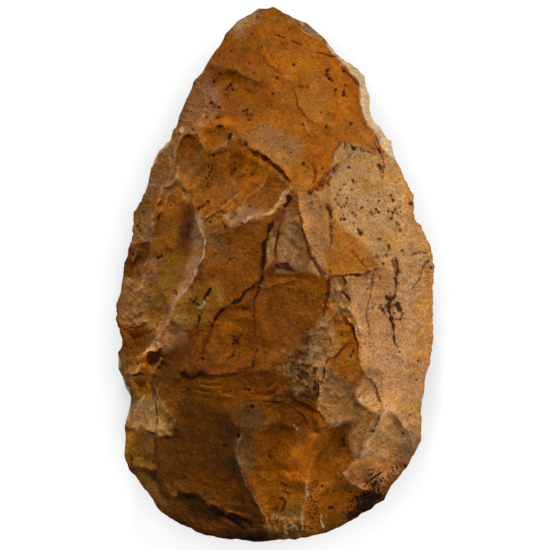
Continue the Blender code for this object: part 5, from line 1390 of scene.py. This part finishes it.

    # manganese black: specks, dust and marks, some of the marks painted shadow at the feet of steps and
    # lips
    speck_size = node("Math", (specks, 0.36, -0.33), operation="MULTIPLY_ADD")
    speck_size = node("Math", (clouds["specked"], 0.6, speck_size), operation="MULTIPLY_ADD")
    ragged_size = node("Math", (ragged, 0.6), operation="MULTIPLY")
    speck_size = node("Math", (speck_size, ragged_size), operation="ADD")
    away = node("TexVoronoi", {"Vector": place, "Scale": 1 / (SPECK_SPACING * UNIT)}, "Distance")
    in_speck = node("Math", (speck_size, away), operation="SUBTRACT")
    speck_here = node("MapRange", (in_speck, 0.0, 0.05))
    dust_size = node("Math", (clouds["fine"], 0.6, -0.42), operation="MULTIPLY_ADD")
    dust_size = node("Math", (dust, 0.95, dust_size), operation="MULTIPLY_ADD")
    away = node("TexVoronoi", {"Vector": place, "Scale": 1 / (DUST_SPACING * UNIT)}, "Distance")
    in_dust = node("Math", (dust_size, away), operation="SUBTRACT")
    dust_here = node("MapRange", (in_dust, 0.0, 0.08))
    black = node("Math", (dotted, 0.35, black), operation="MULTIPLY_ADD")
    strewn = node("Math", (speck_here, dust_here), operation="MAXIMUM")
    black_here = node("Math", (reached(black, 0.08, 0.05, 0.8), strewn), operation="MAXIMUM")
    colour = coated(colour, black_here, 0.9, rgba("1d110a"))
    tree.links.new(colour, shader.inputs["Base Color"])

    satin = node("MapRange", (clouds["middling"], 0.3, 0.7, 0.48, 0.6))
    tree.links.new(satin, shader.inputs["Roughness"])
    shader.inputs["IOR"].default_value = 1.54
    shader.inputs["Specular IOR Level"].default_value = 0.05

    # relief too small for the mesh, its heights in millimetres
    fine_relief = node("MapRange", (clouds["fine"], 0.3, 0.7, 0.0, 0.14))
    grain_relief = node("MapRange", (clouds["grain"], 0.3, 0.7, 0.0, 0.05))
    height = node("Math", (fine_relief, grain_relief), operation="ADD")
    pitted = node("Math", (black_here, pores), operation="ADD")
    pitted = node("Math", (pitted, 0.08), operation="MULTIPLY")
    height = node("Math", (height, pitted), operation="SUBTRACT")
    deep_chip = node("Math", (chip, 0.7), operation="MULTIPLY")
    deep_flake = node("Math", (flake, 0.3), operation="MULTIPLY")
    scarred = node("Math", (deep_chip, deep_flake), operation="ADD")
    height = node("Math", (scarred, broken_up, height), operation="MULTIPLY_ADD")
    bump = node("Bump", {"Height": height, "Strength": 1.0, "Distance": UNIT}, "Normal")
    tree.links.new(bump, shader.inputs["Normal"])
    return material


def white_acrylic():
    """White acrylic sheet, lit from below. Its glow is dimmed softly where the stone's foot would shade it,
    away from the light: a painted shadow.
    """
    material, tree, shader = new_material("white_acrylic")
    place = add(tree, "TexCoord", output="Object")
    fibre = add(tree, "TexNoise", {"Vector": place, "Scale": 1800.0})
    bump = add(tree, "Bump", {"Height": fibre, "Strength": 0.05, "Distance": 0.0002}, "Normal")
    tree.links.new(bump, shader.inputs["Normal"])
    shader.inputs["Base Color"].default_value = rgba("6a6a6a")
    shader.inputs["Emission Color"].default_value = (1, 1, 1, 1)
    # painted shadow: the sheet glows less where the stone leans over it towards the light
    outside_painted_shadow = add(tree, "AmbientOcclusion", {"Distance": 26 * UNIT, "Normal": (-0.25, 0.85, 0.35)}, "AO",
                   samples=8)
    glow_with_painted_shadow = add(tree, "MapRange", (outside_painted_shadow, 0.4, 0.84, 0.5, 0.96))
    tree.links.new(glow_with_painted_shadow, shader.inputs["Emission Strength"])
    shader.inputs["Roughness"].default_value = 0.9
    return material


# ---------------------------------------------------------------- studio
def towards(azimuth, elevation, distance):
    """A place in that direction from the middle of the stone."""
    a, e = math.radians(azimuth), math.radians(elevation)
    return MIDDLE + distance * np.array((math.cos(e) * math.cos(a), math.cos(e) * math.sin(a), math.sin(e)))


def soft_light(name, azimuth, elevation, distance, size, power):
    bpy.ops.object.light_add(type="AREA", location=towards(azimuth, elevation, distance))
    light = bpy.context.object
    light.name = name
    light.data.size = size
    light.data.energy = power
    aim(light, MIDDLE)


def aim(obj, target):
    obj.rotation_euler = (Vector(target) - obj.location).to_track_quat("-Z", "Y").to_euler()


def studio():
    bpy.ops.mesh.primitive_plane_add(size=FLOOR_SIZE, location=(0, 0, MIDDLE[2] - FLOOR_GAP))
    floor = bpy.context.object
    floor.name = "floor"
    floor.data.materials.append(white_acrylic())
    bpy.ops.object.transform_apply(location=True)
    for light in SOFT_LIGHTS:
        soft_light(*light)
    world = bpy.data.worlds.new("studio")
    bpy.context.scene.world = world
    world.use_nodes = True
    world.node_tree.nodes["Background"].inputs["Color"].default_value = (1, 1, 1, 1)
    world.node_tree.nodes["Background"].inputs["Strength"].default_value = WORLD_LIGHT
    bpy.context.scene.view_settings.view_transform = "Standard"


def camera():
    """Looks straight down from far off, with the tip at the top."""
    below = MIDDLE + UNIT * np.array((*VIEW_MIDDLE, EDGE_HEIGHT))
    bpy.ops.object.camera_add(location=below + (0, 0, CAMERA_AWAY))
    made = bpy.context.object
    made.rotation_euler = (0, 0, 0)
    made.data.sensor_width = SENSOR_WIDTH
    made.data.lens = SENSOR_WIDTH * CAMERA_AWAY / (VIEW_WIDTH * UNIT)
    made.data.clip_end = 20
    bpy.context.scene.camera = made


def main():
    stone = hand_axe()
    stone.data.materials.append(ochre_patinated_flint())
    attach(stone, "root")
    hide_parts("hand_axe")
    studio()
    camera()


main()
